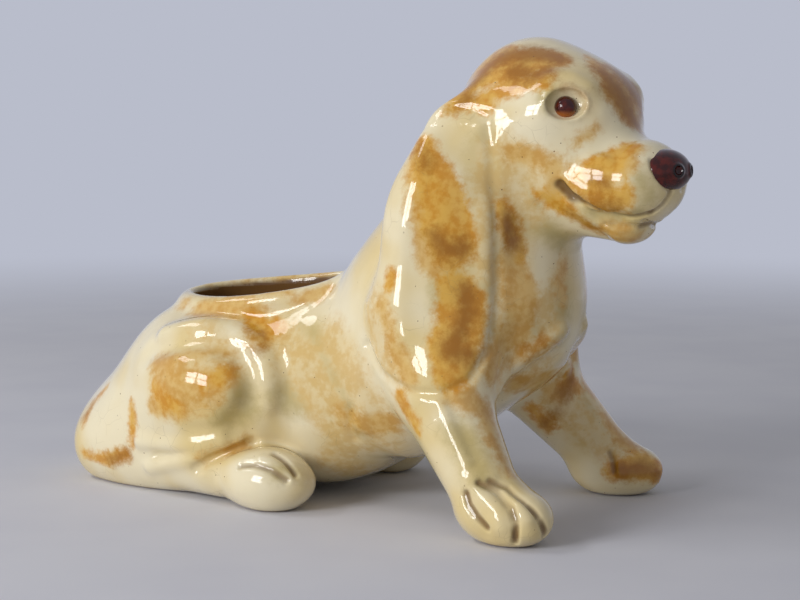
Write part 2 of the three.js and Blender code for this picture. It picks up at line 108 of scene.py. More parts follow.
def cut(a: np.ndarray, b: np.ndarray, width: float) -> np.ndarray:
    """What is in both masses, with the edge between them eased by width."""
    return -meld(-a, -b, width)


def cos_sin(degrees: float) -> tuple[float, float]:
    """An angle's cosine and sine."""
    return math.cos(math.radians(degrees)), math.sin(math.radians(degrees))


def sided(at: Vec, side: int) -> Vec:
    """A right-hand place, side 1, or the left-hand one that mirrors it, side -1."""
    return (at[0], at[1] * side, at[2])


def distance_to(at: Vec, p: Points) -> np.ndarray:
    """How far the points lie from a place."""
    return np.sqrt(((p - column(at)) ** 2).sum(0))


def mirrored(p: Points) -> Points:
    """The same points seen in a mirror down the puppy's middle."""
    q = p.copy()
    q[1] *= -1
    return q


def within(form: Form, p: Points, low: Vec, high: Vec, reach: float = 14.0) -> np.ndarray:
    """A form's distances, or just its reach where none of the points come near it.

    Args:
        form: The form.
        p: The points.
        low: The lowest corner of the box that the form fills.
        high: The box's highest corner.
        reach: How near the points have to come to the box.

    Returns:
        The distances.
    """
    if (p.max(1) < np.array(low) - reach).any() or (p.min(1) > np.array(high) + reach).any():
        return np.full(p.shape[1], reach, np.float32)
    return form(p)


@dataclass(frozen=True)
class Egg:
    """An egg-shaped mass, turned about the vertical and then tipped nose down."""

    at: Vec
    radii: Vec
    yaw: float = 0.0
    droop: float = 0.0

    def __call__(self, p: Points) -> np.ndarray:
        """Distance from the points to the egg."""
        q = Turned(self.at, self.yaw).inward(p)
        if self.droop:
            c, s = cos_sin(self.droop)
            q = np.stack([q[0] * c - q[2] * s, q[1], q[2] * c + q[0] * s])
        radii = column(self.radii)
        scaled = q / radii
        steeper = scaled / radii
        near = np.sqrt((scaled * scaled).sum(0))
        slope = np.sqrt((steeper * steeper).sum(0)) + TINY
        return near * (near - 1) / slope


@dataclass(frozen=True)
class Rod:
    """A rod of changing radius, flattened or widened across Y by its breadth."""

    start: Vec
    end: Vec
    start_radius: float
    end_radius: float
    breadth: float = 1.0

    def __call__(self, p: Points) -> np.ndarray:
        """Distance from the points to the rod."""
        narrow = column((1, 1 / self.breadth, 1))
        start = column(self.start) * narrow
        axis = column(self.end) * narrow - start
        q = p * narrow - start
        t = np.clip((q * axis).sum(0) / float((axis * axis).sum()), 0, 1)
        off = q - axis * t
        radius = self.start_radius + (self.end_radius - self.start_radius) * t
        return (np.sqrt((off * off).sum(0)) - radius) * min(1.0, self.breadth)


@dataclass(frozen=True)
class Turned:
    """A frame of its own for a piece that is turned about the vertical."""

    at: Vec
    turn: float

    def inward(self, p: Points) -> Points:
        """Points of the puppy's frame, in this one."""
        q = p - column(self.at)
        if not self.turn:
            return q
        c, s = cos_sin(self.turn)
        return np.stack([q[0] * c + q[1] * s, q[1] * c - q[0] * s, q[2]])

    def outward(self, q: Points) -> Points:
        """Points of this frame, in the puppy's."""
        c, s = cos_sin(self.turn)
        return np.stack([q[0] * c - q[1] * s, q[1] * c + q[0] * s, q[2]]) + column(self.at)


@dataclass(frozen=True)
class Station:
    """One cross-section of the trunk: a round of clay drawn out to a rounded box."""

    at: Vec
    radius: float
    half_width: float
    half_height: float


# The pieces' forms. Right-hand pieces are written out, at negative Y, and left ones mirror them.


@dataclass(frozen=True)
class Trunk:
    """The hollow body from rump to chest, without its head and legs."""

    stations: tuple[Station, ...] = (
        Station((-61, 0, 36.8), 25.1, 11.9, 1.8),
        Station((-14, 0, 38), 25, 4.5, 4),
        Station((14, 0, 44), 29, 8, 0),
    )
    rump: Egg = Egg((-81, 0, 15.2), (36, 36.6, 23.9))
    belly: Egg = Egg((-29, 0, 19.5), (33, 24.5, 15))
    chest: Egg = Egg((35.5, 0, 66), (37, 33.5, 32))
    neck: Rod = Rod((29, 0, 66), (45.5, 0, 99.5), 32.7, 26.5)
    thigh: Egg = Egg((-46, -29, 34), (27, 18, 25))
    shank: Rod = Rod((-96, -22, 11), (-44, -33, 11), 11, 10)
    rump_fillet: float = 27
    waist_fillet: float = 12
    neck_fillet: float = 14
    haunch_fillet: float = 8

    def barrel(self, p: Points) -> np.ndarray:
        """Distance to the trunk's rounded boxes."""
        form = None
        for a, b in zip(self.stations[:-1], self.stations[1:]):
            t = np.clip((p[0] - a.at[0]) / (b.at[0] - a.at[0]), 0, 1)
            half_width = a.half_width + (b.half_width - a.half_width) * t
            half_height = a.half_height + (b.half_height - a.half_height) * t
            rise = p[2] - (a.at[2] + (b.at[2] - a.at[2]) * t)
            inset = np.stack(
                [
                    p[0],
                    np.maximum(np.abs(p[1]) - half_width, 0),
                    p[2] - np.clip(rise, -half_height, half_height),
                ]
            )
            part = Rod(a.at, b.at, a.radius, b.radius)(inset)
            form = part if form is None else meld(form, part, self.waist_fillet)
        return form

    def haunch(self, p: Points) -> np.ndarray:
        """Distance to the right thigh and shank."""
        return meld(self.thigh(p), self.shank(p), self.haunch_fillet)

    def form(self, p: Points) -> np.ndarray:
        """Distance to the whole trunk with both haunches."""
        form = meld(self.barrel(p), self.rump(p), self.rump_fillet)
        form = meld(form, self.belly(p), self.waist_fillet)
        form = meld(form, self.chest(p), self.waist_fillet)
        form = meld(form, self.neck(p), self.neck_fillet)
        haunches = np.minimum(self.haunch(p), self.haunch(mirrored(p)))
        return meld(form, haunches, self.haunch_fillet)


@dataclass(frozen=True)
class PlantingMouth:
    """The oval opening in the back with its rolled lip, and the hollow under it."""

    centre_x: float = -37.5
    half_length: float = 35.5
    half_width: float = 24.9
    height: float = 68.8
    tilt: float = 6.6
    roll: float = 4.3
    end_rise: float = 1.8
    lip_radius: float = 2.9
    wall: float = 5
    floor: float = 6
    # how far below the lip the painted shade on the hollow's wall starts, and how far on it is full
    shade_from: float = 0.9
    collar_depth: float = 16
    collar_out: float = 1.2
    collar_in: float = 4.6
    lip_fillet: float = 2
    floor_fillet: float = 3
    shaft_inset: float = 0.6
    shaft_depth: float = 22
    wall_skin: float = 1
    floor_clearance: float = 1.5

    def oval(self, p: Points, inset: float) -> np.ndarray:
        """Distance in plan to the oval, drawn in by inset."""
        a, b = self.half_length - inset, self.half_width - inset
        x, y = p[0] - self.centre_x, p[1]
        near = np.sqrt((x / a) ** 2 + (y / b) ** 2)
        slope = np.sqrt((x / a**2) ** 2 + (y / b**2) ** 2) + TINY
        return near * (near - 1) / slope

    def top(self, p: Points) -> np.ndarray:
        """How high the lip's top is: it leans a little and rises at both ends."""
        x = p[0] - self.centre_x
        lean = x * math.tan(math.radians(self.tilt)) + p[1] * math.tan(math.radians(self.roll))
        return self.height + lean + self.end_rise * np.clip(x / self.half_length, -1, 1) ** 2

    def lip(self, p: Points) -> np.ndarray:
        """Distance to the rolled lip."""
        level = self.top(p) - self.lip_radius
        return np.sqrt(self.oval(p, 0) ** 2 + (p[2] - level) ** 2) - self.lip_radius

    def collar(self, p: Points) -> np.ndarray:
        """Distance to the lip with the wall of clay that carries it."""
        thickness = self.collar_out + self.collar_in
        across = np.abs(self.oval(p, 0) + thickness / 2 - self.collar_out) - thickness / 2
        middle = self.top(p) - self.lip_radius - self.collar_depth / 2
        upright = np.maximum(across, np.abs(p[2] - middle) - self.collar_depth / 2)
        return meld(self.lip(p), upright, self.lip_fillet)

    def hollow(self, p: Points, clay: np.ndarray) -> np.ndarray:
        """Distance to the space inside, given the distance to the clay's outside."""
        inside = cut(clay + self.wall, self.floor - p[2], self.floor_fillet)
        shaft = self.oval(p, self.lip_radius * self.shaft_inset)
        shaft = np.maximum(shaft, self.height - self.shaft_depth - p[2])
        return meld(inside, shaft, self.lip_fillet)

    def shade(self, p: Points, clay: np.ndarray) -> np.ndarray:
        """Painted shade down the hollow's wall: how far inside the hollow a point of its wall lies, from 0
        at the lip to 1.
        """
        below = np.clip((self.top(p) - p[2] - self.shade_from) / self.shade_from, 0, 1)
        lining = np.abs(self.hollow(p, clay)) < self.wall_skin
        return below * lining * (p[2] > self.floor_clearance)


@dataclass(frozen=True)
class Head:
    """The cast head: skull, brow, muzzle and jaw, turned a little to the puppy's right."""

    place: Turned = Turned((59.5, 0, 119.5), -12)
    skull: Egg = Egg((-1.1, 0, 0.9), (26.2, 26.6, 30))
    brow: Egg = Egg((14.7, 0, 6.9), (18, 24, 16.5))
    muzzle: Rod = Rod((18, 0, -11.5), (38, 0, -13), 16, 12.7, 1.2)
    jaw: Rod = Rod((12, 0, -17.5), (33, 0, -25), 12, 7, 1.3)
    lip_pad: Egg = Egg((31.6, -14, -13.4), (7.6, 3, 8.4), 14)
    socket: Egg = Egg((24.0, -19.4, 10.2), (6.3, 3.5, 4.9), 45)
    socket_edge: float = 1.1
    brow_fillet: float = 8
    muzzle_fillet: float = 9
    jaw_fillet: float = 5
    pad_fillet: float = 2.5

    def form(self, p: Points) -> np.ndarray:
        """Distance to the head without its ears, eyes and nose."""
        q = self.place.inward(p)
        form = meld(self.skull(q), self.brow(q), self.brow_fillet)
        form = meld(form, self.muzzle(q), self.muzzle_fillet)
        form = meld(form, self.jaw(q), self.jaw_fillet)
        return meld(form, np.minimum(self.lip_pad(q), self.lip_pad(mirrored(q))), self.pad_fillet)

    def dish(self, p: Points) -> np.ndarray:
        """Distance to the shallow dishes that the two eyes sit in."""
        q = self.place.inward(p)
        return np.minimum(self.socket(q), self.socket(mirrored(q)))


@dataclass(frozen=True)
class Ear:
    """The right ear: a long flap hung from the skull over neck and shoulder."""

    place: Turned = Turned((40, -29, 0), 18)
    upper: Rod = Rod((4.4, 4, 120.1), (2.3, 0.6, 96), 10.2, 16, 0.5)
    lower: Rod = Rod((2.3, 0.6, 96), (-1.3, -0.6, 66), 16, 22, 0.5)
    fillet: float = 8

    def form(self, p: Points) -> np.ndarray:
        """Distance to the flap."""
        q = self.place.inward(p)
        return meld(self.upper(q), self.lower(q), self.fillet)


@dataclass(frozen=True)
class Foreleg:
    """The right foreleg and paw, splayed out and forward."""

    shoulder: Egg = Egg((41, -30, 50), (17, 13, 19))
    leg: Rod = Rod((33, -26, 50), (62, -41, 14), 15.2, 10.2)
    paw: Egg = Egg((69, -41.5, 8), (15.5, 11.5, 9.5), -14)
    shoulder_fillet: float = 8
    wrist_fillet: float = 6

    def form(self, p: Points) -> np.ndarray:
        """Distance to leg and paw."""
        leg = meld(self.leg(p), self.shoulder(p), self.shoulder_fillet)
        return meld(leg, self.paw(p), self.wrist_fillet)


@dataclass(frozen=True)
class HindPaw:
    """The right hind paw, pushed forward from under the haunch."""

    paw: Egg = Egg((-18, -37, 9), (15.5, 11.5, 9.5))
    heel: Rod = Rod((-36, -34, 10), (-18, -37, 9), 9, 9)
    fillet: float = 6

    def form(self, p: Points) -> np.ndarray:
        """Distance to the paw and its heel."""
        return meld(self.paw(p), self.heel(p), self.fillet)


@dataclass(frozen=True)
class Tail:
    """A short tail laid round the rump's left side."""

    root: Vec = (-104, 8, 21)
    bend: Vec = (-119, 23, 13)
    tip: Vec = (-91, 38, 8)
    root_radius: float = 7.5
    tip_radius: float = 5.5
    lengths: int = 7
    fillet: float = 1.5

    def form(self, p: Points) -> np.ndarray:
        """Distance to the tail along its curve."""
        form = None
        for i in range(self.lengths):
            a, b = i / self.lengths, (i + 1) / self.lengths
            rod = Rod(self.along(a), self.along(b), self.radius(a), self.radius(b))
            form = rod(p) if form is None else meld(form, rod(p), self.fillet)
        return form

    def along(self, t: float) -> Vec:
        """A point of the tail's curve."""
        pairs = zip(self.root, self.bend, self.tip)
        return tuple(a * (1 - t) ** 2 + 2 * b * t * (1 - t) + c * t * t for a, b, c in pairs)

    def radius(self, t: float) -> float:
        """The tail's radius at t."""
        return self.root_radius + (self.tip_radius - self.root_radius) * t


@dataclass(frozen=True)
class Nose:
    """The nose pad, in the head's frame, with two ringed nostrils."""

    pad: Egg = Egg((46.9, 0, -9.5), (7, 8, 6.2), 0, 20)
    wing: Egg = Egg((44.3, -5.2, -11.5), (5.0, 4.0, 5.4), 0, 10)
    nostril: Vec = (52.8, -3.2, -9.5)
    ring_radius: float = 1.75
    ring_width: float = 0.55
    ring_height: float = 0.55
    pit_depth: float = 0.9
    pit_share: float = 0.7
    wing_fillet: float = 2.5

    def form(self, p: Points, head: Head) -> np.ndarray:
        """Distance to the nose pad."""
        q = head.place.inward(p)
        wings = np.minimum(self.wing(q), self.wing(mirrored(q)))
        form = meld(self.pad(q), wings, self.wing_fillet)
        for side in (1, -1):
            away = distance_to(sided(self.nostril, side), q)
            pit = np.exp(-((away / (self.pit_share * self.ring_radius)) ** 2))
            form = form - self.ring_height * self.ring(away) + self.pit_depth * pit
        return form

    def ring(self, away: np.ndarray) -> np.ndarray:
        """How near to a nostril's ring points lie that are some way away from its middle."""
        return np.exp(-(((away - self.ring_radius) / self.ring_width) ** 2))

    def rings(self, q: Points) -> np.ndarray:
        """How near to either ring points of the head's frame lie, from 0 to 1."""
        return np.maximum(*(self.ring(distance_to(sided(self.nostril, side), q)) for side in (1, -1)))


@dataclass(frozen=True)
class Eye:
    """The right eye: a glazed bead pressed into its dish, in the head's frame."""

    at: Vec = (21.9, -16.8, 9.0)
    radius: float = 3.4
    # how the painted glow along the bead's lower part ramps in
    glow_steepness: float = 1.5
    glow_offset: float = 0.1

    def form(self, p: Points, head: Head, side: int) -> np.ndarray:
        """Distance to one eye, side 1 for the right and -1 for the left."""
        return distance_to(sided(self.at, side), head.place.inward(p)) - self.radius

    def glow(self, q: Points) -> np.ndarray:
        """How low on the bead points of the head's frame lie, from 0 to 1, for the painted glow along its
        lower part.
        """
        return np.clip(self.glow_steepness * (self.at[2] - q[2]) / self.radius - self.glow_offset, 0, 1)


# The camera, and lines laid on the clay as it sees them


def placed(name: str, data: bpy.types.ID) -> bpy.types.Object:
    """A new object with some data, linked to the scene."""
    piece = bpy.data.objects.new(name, data)
    bpy.context.scene.collection.objects.link(piece)
    return piece


@dataclass(frozen=True)
class Camera:
    """Where the photograph was taken from, in the maker's frame, for a frame of 800 by 600."""

    azimuth: float = 30.0
    pitch: float = 5.893
    distance: float = 600.0
    height: float = 127.0
    sideways: float = 7.417
    focal: float = 1818.8
    frame_width: int = 800
    frame_height: int = 600
    sensor: float = 36.0
    clip: tuple[float, float] = (0.01, 20)
    first_step: float = 150
    steps: int = 160
    caution: float = 0.7
    step_back: float = 4
    step_on: float = 12
    contact: float = 0.5

    @property
    def right(self) -> np.ndarray:
        """Unit vector to the camera's right."""
        a = math.radians(self.azimuth)
        return np.array([math.cos(a), math.sin(a), 0])

    @property
    def ahead(self) -> np.ndarray:
        """Unit vector that the camera looks along."""
        a, b = math.radians(self.azimuth), math.radians(self.pitch)
        return np.array([-math.sin(a) * math.cos(b), math.cos(a) * math.cos(b), -math.sin(b)])

    @property
    def place(self) -> np.ndarray:
        """The camera's position."""
        a = math.radians(self.azimuth)
        out = np.array([math.sin(a), -math.cos(a), 0]) * self.distance
        return out + self.right * self.sideways + np.array([0, 0, self.height])

    def ray(self, pixel: Pixel) -> np.ndarray:
        """Unit vector from the camera through a pixel."""
        down = np.cross(self.ahead, self.right)
        x = (pixel[0] - self.frame_width / 2) / self.focal
        y = (pixel[1] - self.frame_height / 2) / self.focal
        out = self.ahead + self.right * x + down * y
        return out / np.linalg.norm(out)

    def touch(self, form: Form, pixels: Sequence[Pixel]) -> tuple[Points, np.ndarray]:
        """Where the rays through some pixels meet the clay.

        Args:
            form: The clay that the rays stop at.
            pixels: Pixels of the photograph's frame.

        Returns:
            The points, one column each, and whether each ray met the clay.
        """
        rays = np.stack([self.ray(p) for p in pixels], 1).astype(np.float32)
        start = self.place.reshape(3, 1).astype(np.float32)
        along = np.full(rays.shape[1], self.distance - self.first_step, np.float32)
        for _ in range(self.steps):
            gap = form(start + rays * along)
            along += np.clip(gap * self.caution, -self.step_back, self.step_on)
        points = start + rays * along
        return points, np.abs(form(points)) < self.contact

    def build(self, shift: np.ndarray) -> bpy.types.Object:
        """Makes Blender's camera, moved with the frame by shift millimetres."""
        data = bpy.data.cameras.new("photo_camera")
        data.sensor_width = self.sensor
        data.lens = self.focal * self.sensor / self.frame_width
        data.clip_start, data.clip_end = self.clip
        camera = placed("photo_camera", data)
        camera.location = Vector((self.place + shift) * MM)
        camera.rotation_euler = (math.radians(90 - self.pitch), 0, math.radians(self.azimuth))
        bpy.context.scene.camera = camera
        return camera


class Sides(Enum):
    """Which sides of the puppy a line is on."""

    SEEN = "seen"
    BOTH = "both"
    HEAD_BOTH = "head_both"


@dataclass(frozen=True)
class Tooling:
    """A groove or a roll tooled in the clay: where it runs in the photograph, and how deep."""

    name: str
    pixels: tuple[Pixel, ...]
    width: float
    height: float
    sides: Sides = Sides.BOTH


@dataclass(frozen=True)
class Wash:
    """A brush stroke of coloured wash: (x, y, radius) along it, in pixels."""

    name: str
    dabs: tuple[tuple[float, float, float], ...]
    sides: Sides = Sides.BOTH


@dataclass
class Line:
    """A line laid on the clay in millimetres, with a width at each point."""

    points: np.ndarray
    widths: np.ndarray
    height: float = 0.0
    low: np.ndarray = field(init=False)
    high: np.ndarray = field(init=False)

    def __post_init__(self) -> None:
        """Works out the box that the line lies in."""
        self.low = self.points.min(1)
        self.high = self.points.max(1)

    def meets(self, low: np.ndarray, high: np.ndarray, reach: float) -> bool:
        """Whether the line's box comes within reach of another box."""
        return bool((self.low - reach <= high).all() and (self.high + reach >= low).all())

    def near(self, p: Points, reach: float) -> np.ndarray:
        """The numbers of the points that lie within reach of the line's box.

        Args:
            p: The points.
            reach: How far outside the box a point may lie.

        Returns:
            The numbers of those points.
        """
        low = self.low - reach
        high = self.high + reach
        inside = (p[0] > low[0]) & (p[0] < high[0])
        inside &= (p[1] > low[1]) & (p[1] < high[1])
        inside &= (p[2] > low[2]) & (p[2] < high[2])
        return np.flatnonzero(inside)

    def away(self, p: Points) -> tuple[np.ndarray, np.ndarray]:
        """How far the points lie from the line.

        Args:
            p: The points.

        Returns:
            Their distance to the line, and that distance less the line's width.
        """
        gap = None
        inset = None
        count = self.points.shape[1]
        for i in range(max(count - 1, 1)):
            j = min(i + 1, count - 1)
            a = self.points[:, i : i + 1]
            axis = self.points[:, j : j + 1] - a
            length = float((axis * axis).sum()) + TINY
            q = p - a
            t = np.clip((q * axis).sum(0) / length, 0, 1)
            off = q - axis * t
            d = np.sqrt((off * off).sum(0))
            w = d - (self.widths[i] + (self.widths[j] - self.widths[i]) * t)
            gap = d if gap is None else np.minimum(gap, d)
            inset = w if inset is None else np.minimum(inset, w)
        return gap, inset


@dataclass
class Layout:
    """Lays lines of the photograph on the clay, and their twins on the side that it doesn't show."""

    camera: Camera
    clay: Form
    head: Turned

    def twins(self, points: np.ndarray, sides: Sides) -> list[np.ndarray]:
        """The points, and their mirror image where the line is on both sides.

        Args:
            points: The line's points, one column each.
            sides: Which sides the line is on.

        Returns:
            The points of the line, or of the line and its twin.
        """
        if sides is Sides.SEEN:
            return [points]
        if sides is Sides.BOTH:
            return [points, mirrored(points)]
        return [points, self.head.outward(mirrored(self.head.inward(points)))]

    def lay(
        self,
        name: str,
        pixels: Sequence[Pixel],
        widths: Sequence[float],
        height: float,
        sides: Sides,
    ) -> list[Line]:
        """Lays one line.

        Args:
            name: What the line is, for the log.
            pixels: Where it runs in the photograph's frame.
            widths: Its width at each pixel, in millimetres.
            height: How far it stands up, negative for a groove.
            sides: Which sides it is on.

        Returns:
            The line and its twin, if it has one.
        """
        points, met = self.camera.touch(self.clay, pixels)
        if not met.all():
            LOG.warning("%s: %d of its points miss the clay", name, int((~met).sum()))
        if not met.any():
            return []
        kept = np.array(widths, np.float32)[met]
        return [Line(q.astype(np.float32), kept, height) for q in self.twins(points[:, met], sides)]


# The tooling and the washes, as they run in the photograph: places are pixels of a frame of
# 800 by 600, widths and heights of tooling are millimetres

SEEN = Sides.SEEN
HEAD = Sides.HEAD_BOTH

HEAD_TOOLING = (
    Tooling("mouth_corner", ((560, 185), (565, 190), (571, 196), (578, 201)), 1.3, -3.0, HEAD),
    Tooling(
        "mouth_line",
        ((578, 200), (587, 205), (598, 210), (609, 213.5), (620, 216), (635, 216.5), (645, 215), (651, 213)),
        0.75,
        -1.7,
        HEAD,
    ),
    Tooling("mouth_channel", ((578, 203), (590, 211), (604, 217), (620, 220)), 2.2, -0.9, HEAD),
    Tooling("chin_line", ((606, 223), (620, 224), (634, 225.5), (646, 226)), 1.0, -0.8, HEAD),
    Tooling("lip_notch", ((644, 221), (650, 223.5), (656, 225)), 0.7, -1.0, HEAD),
    Tooling("upper_lip_roll", ((569, 183), (580, 193), (594, 202), (610, 208), (630, 209)), 2.6, 0.7, HEAD),
    Tooling("lower_lip_roll", ((571, 203), (582, 212), (594, 219), (606, 223)), 1.9, 0.9, HEAD),
    Tooling("jaw_crease", ((548, 205), (566, 219), (586, 229), (602, 236)), 3.0, -0.6, HEAD),
    Tooling("chin_lobe", ((618, 233), (632, 235)), 4.5, 0.8, HEAD),
    Tooling("philtrum", ((672, 191), (668, 198), (663, 205), (657, 210), (652, 213.5)), 0.7, -1.8, SEEN),
    Tooling(
        "nose_wing_crease",
        ((652, 160), (653.5, 168), (658, 176), (664, 183), (670, 189)),
        0.8,
        -1.2,
        HEAD,
    ),
    Tooling(
        "upper_lid",
        ((547, 98), (552, 91), (560, 87.5), (569, 87), (578, 92), (584, 100)),
        1.3,
        0.7,
        HEAD,
    ),
    Tooling(
        "lower_lid",
        ((548, 101), (553, 109), (560, 115), (569, 118), (578, 115), (584.5, 107)),
        1.1,
        0.7,
        HEAD,
    ),
    Tooling("eye_bag", ((553, 115), (566, 124), (581, 121), (592, 110)), 2.6, -0.5, HEAD),
    Tooling("brow_roll", ((548, 82), (560, 76), (574, 78), (587, 87)), 3.4, 0.9, HEAD),
    Tooling("cheek_hollow", ((560, 134), (580, 143), (600, 146)), 6.0, -0.5, HEAD),
)

EAR_TOOLING = (
    Tooling(
        "ear_front_edge",
        ((488, 128), (491, 160), (494, 200), (496, 240), (497, 280), (495, 320), (490, 350)),
        1.8,
        -0.5,
    ),
    Tooling("ear_front_roll", ((484, 215), (485, 250), (485, 300), (480, 345)), 3.4, 0.8),
    Tooling("ear_flute", ((462, 160), (466, 200), (468, 240), (470, 270)), 6.5, -0.7),
    Tooling(
        "ear_rear_ridge",
        ((428, 141), (414, 180), (404, 225), (400, 262), (397, 300), (400, 335)),
        4.5,
        1.0,
    ),
    Tooling(
        "ear_bottom_edge",
        ((367, 345), (382, 374), (408, 391), (440, 394), (470, 380), (487, 352)),
        1.5,
        -0.9,
    ),
    Tooling("ear_root", ((452, 108), (470, 110), (486, 116)), 1.8, -0.7),
)

BODY_TOOLING = (
    Tooling(
        "thigh_arc",
        ((150, 352), (180, 344), (214, 343), (236, 354), (248, 376), (248, 400), (236, 420)),
        4.0,
        -1.9,
    ),
    Tooling(
        "thigh_roll",
        ((166, 333), (205, 324), (236, 328), (256, 343), (266, 364), (269, 386), (266, 404)),
        3.6,
        2.3,
    ),
    Tooling("thigh_mound", ((182, 378), (205, 383), (222, 388)), 10.0, 1.8),
    Tooling("thigh_valley", ((254, 404), (246, 416), (240, 428)), 5.0, -1.2),
    Tooling("shank_ridge", ((140, 442), (170, 445), (202, 445), (222, 440)), 2.2, 1.9),
    Tooling("shank_edge", ((150, 467), (185, 460), (212, 449), (240, 441)), 2.6, 1.7),
    Tooling("shank_valley", ((158, 456), (190, 453), (212, 446)), 2.0, -0.8),
    Tooling("shank_crease", ((190, 429), (222, 428), (248, 435)), 2.6, -0.7),
    Tooling("hock_crease", ((196, 468), (214, 457), (232, 449), (252, 443)), 1.8, -2.0),
    Tooling("flank_dent", ((352, 408), (349, 424), (354, 438)), 1.8, -0.7),
    Tooling("flank_roll", ((362, 410), (362, 428)), 3.0, 0.6),
    Tooling("chest_ridge", ((497, 388), (510, 369), (528, 355), (548, 342), (562, 331)), 2.6, 1.9),
    Tooling("chest_crease", ((500, 397), (516, 381), (536, 367), (556, 354)), 2.4, -1.5),
    Tooling("chest_hollow", ((520, 335), (540, 325)), 6.0, -0.8),
)

PAW_TOOLING = (
    Tooling("leg_roll", ((440, 402), (453, 432), (466, 462)), 2.2, 0.5),
    Tooling("leg_flute", ((449, 400), (463, 432), (476, 462)), 2.2, -0.5),
    Tooling("far_toe_groove", ((610, 452), (613, 461), (614, 472)), 0.9, -1.8, SEEN),
    Tooling("toe_slot", ((465, 494), (468, 505), (476, 517), (485, 528)), 1.0, -3.4),
    Tooling("toe_groove_middle", ((479, 482), (497, 490), (511, 507), (516, 524), (515, 543)), 0.85, -2.4),
    Tooling("toe_groove_inner", ((490, 480), (508, 487), (527, 503), (541, 520), (546, 535)), 0.85, -2.4),
    Tooling("toe_valley_outer", ((466, 496), (478, 518), (484, 534)), 2.4, -0.5),
    Tooling("toe_valley_middle", ((486, 484), (506, 500), (516, 530)), 2.4, -0.6),
    Tooling("toe_valley_inner", ((500, 483), (524, 500), (544, 528)), 2.4, -0.6),
    Tooling("toe_roll_middle", ((492, 480), (506, 490), (519, 503), (528, 520)), 2.0, 0.6),
    Tooling("toe_roll_outer", ((474, 485), (486, 496), (497, 510), (500, 528)), 2.2, 0.6),
    Tooling("hind_toe_slot", ((240, 466), (256, 465), (272, 470), (286, 480)), 1.0, -1.5),
    Tooling("hind_toe_groove", ((275, 454), (285, 461), (295, 474)), 1.0, -1.6),
    Tooling("hind_toe_roll", ((262, 458), (278, 465), (290, 476)), 1.8, 0.6),
)

HONEY_WASHES = (
    Wash("crown", ((450, 107, 6), (459, 97, 9), (470, 86, 13), (484, 74, 17), (500, 66, 20)), SEEN),
    Wash("crown_edge", ((468, 84, 14), (478, 72, 16), (490, 61, 16), (504, 53, 14)), SEEN),
    Wash("crown_top", ((510, 67, 20), (526, 62, 19), (542, 61, 16), (557, 60, 11)), SEEN),
    Wash("crown_low", ((486, 98, 9), (502, 88, 9), (522, 84, 10), (542, 78, 10)), SEEN),
    Wash("crown_tail", ((448, 108, 4), (468, 103, 6), (486, 105, 5)), SEEN),
    Wash("far_brow", ((588, 57, 4), (602, 72, 9), (616, 90, 13), (628, 110, 12)), SEEN),
    Wash("far_brow_foot", ((628, 110, 12), (638, 126, 8), (645, 135, 4)), SEEN),
    Wash("far_brow_side", ((612, 68, 8), (632, 90, 10), (640, 108, 7)), SEEN),
    Wash("muzzle_top", ((577, 178, 7), (592, 172, 12), (611, 161, 12), (627, 149, 8)), HEAD),
    Wash("muzzle_low", ((588, 190, 9), (604, 197, 13), (622, 198, 10), (627, 188, 6)), HEAD),
    Wash("jaw", ((541, 194, 7), (552, 203, 10), (568, 213, 8), (584, 223, 6), (598, 231, 4)), HEAD),
    Wash("neck_side", ((500, 203, 6), (508, 222, 9), (517, 243, 9), (520, 256, 6))),
    Wash("ear_upper", ((425, 147, 9), (431, 168, 15), (438, 195, 20), (446, 225, 24), (454, 246, 21))),
    Wash("ear_oval", ((457, 287, 14), (462, 312, 22), (455, 343, 24), (450, 370, 18))),
    Wash("ear_spot", ((393, 277, 6), (391, 283, 5))),
    Wash("chest_stroke", ((524, 351, 4), (541, 341, 5))),
    Wash("leg_rear", ((398, 398, 5), (408, 412, 5), (418, 432, 3.5))),
    Wash("far_leg_back", ((532, 408, 8), (545, 424, 9)), SEEN),
    Wash("far_leg_spot", ((568, 378, 7), (578, 386, 4)), SEEN),
    Wash("far_paw", ((616, 470, 10), (634, 464, 13), (652, 468, 12), (663, 474, 10)), SEEN),
    Wash("flank_dark", ((254, 318, 6), (260, 342, 8), (272, 328, 8))),
    Wash("thigh_left", ((154, 388, 6), (164, 400, 7), (178, 404, 5))),
    Wash("thigh_right", ((204, 388, 7), (218, 380, 8), (228, 370, 5))),
    Wash("rump_arc", ((106, 388, 4), (94, 402, 6), (85, 420, 4))),
    Wash("rump_stroke", ((132, 402, 3), (132, 424, 4.5), (134, 444, 4))),
    Wash("rump_band", ((84, 454, 4), (104, 460, 5), (126, 454, 4.5))),
)

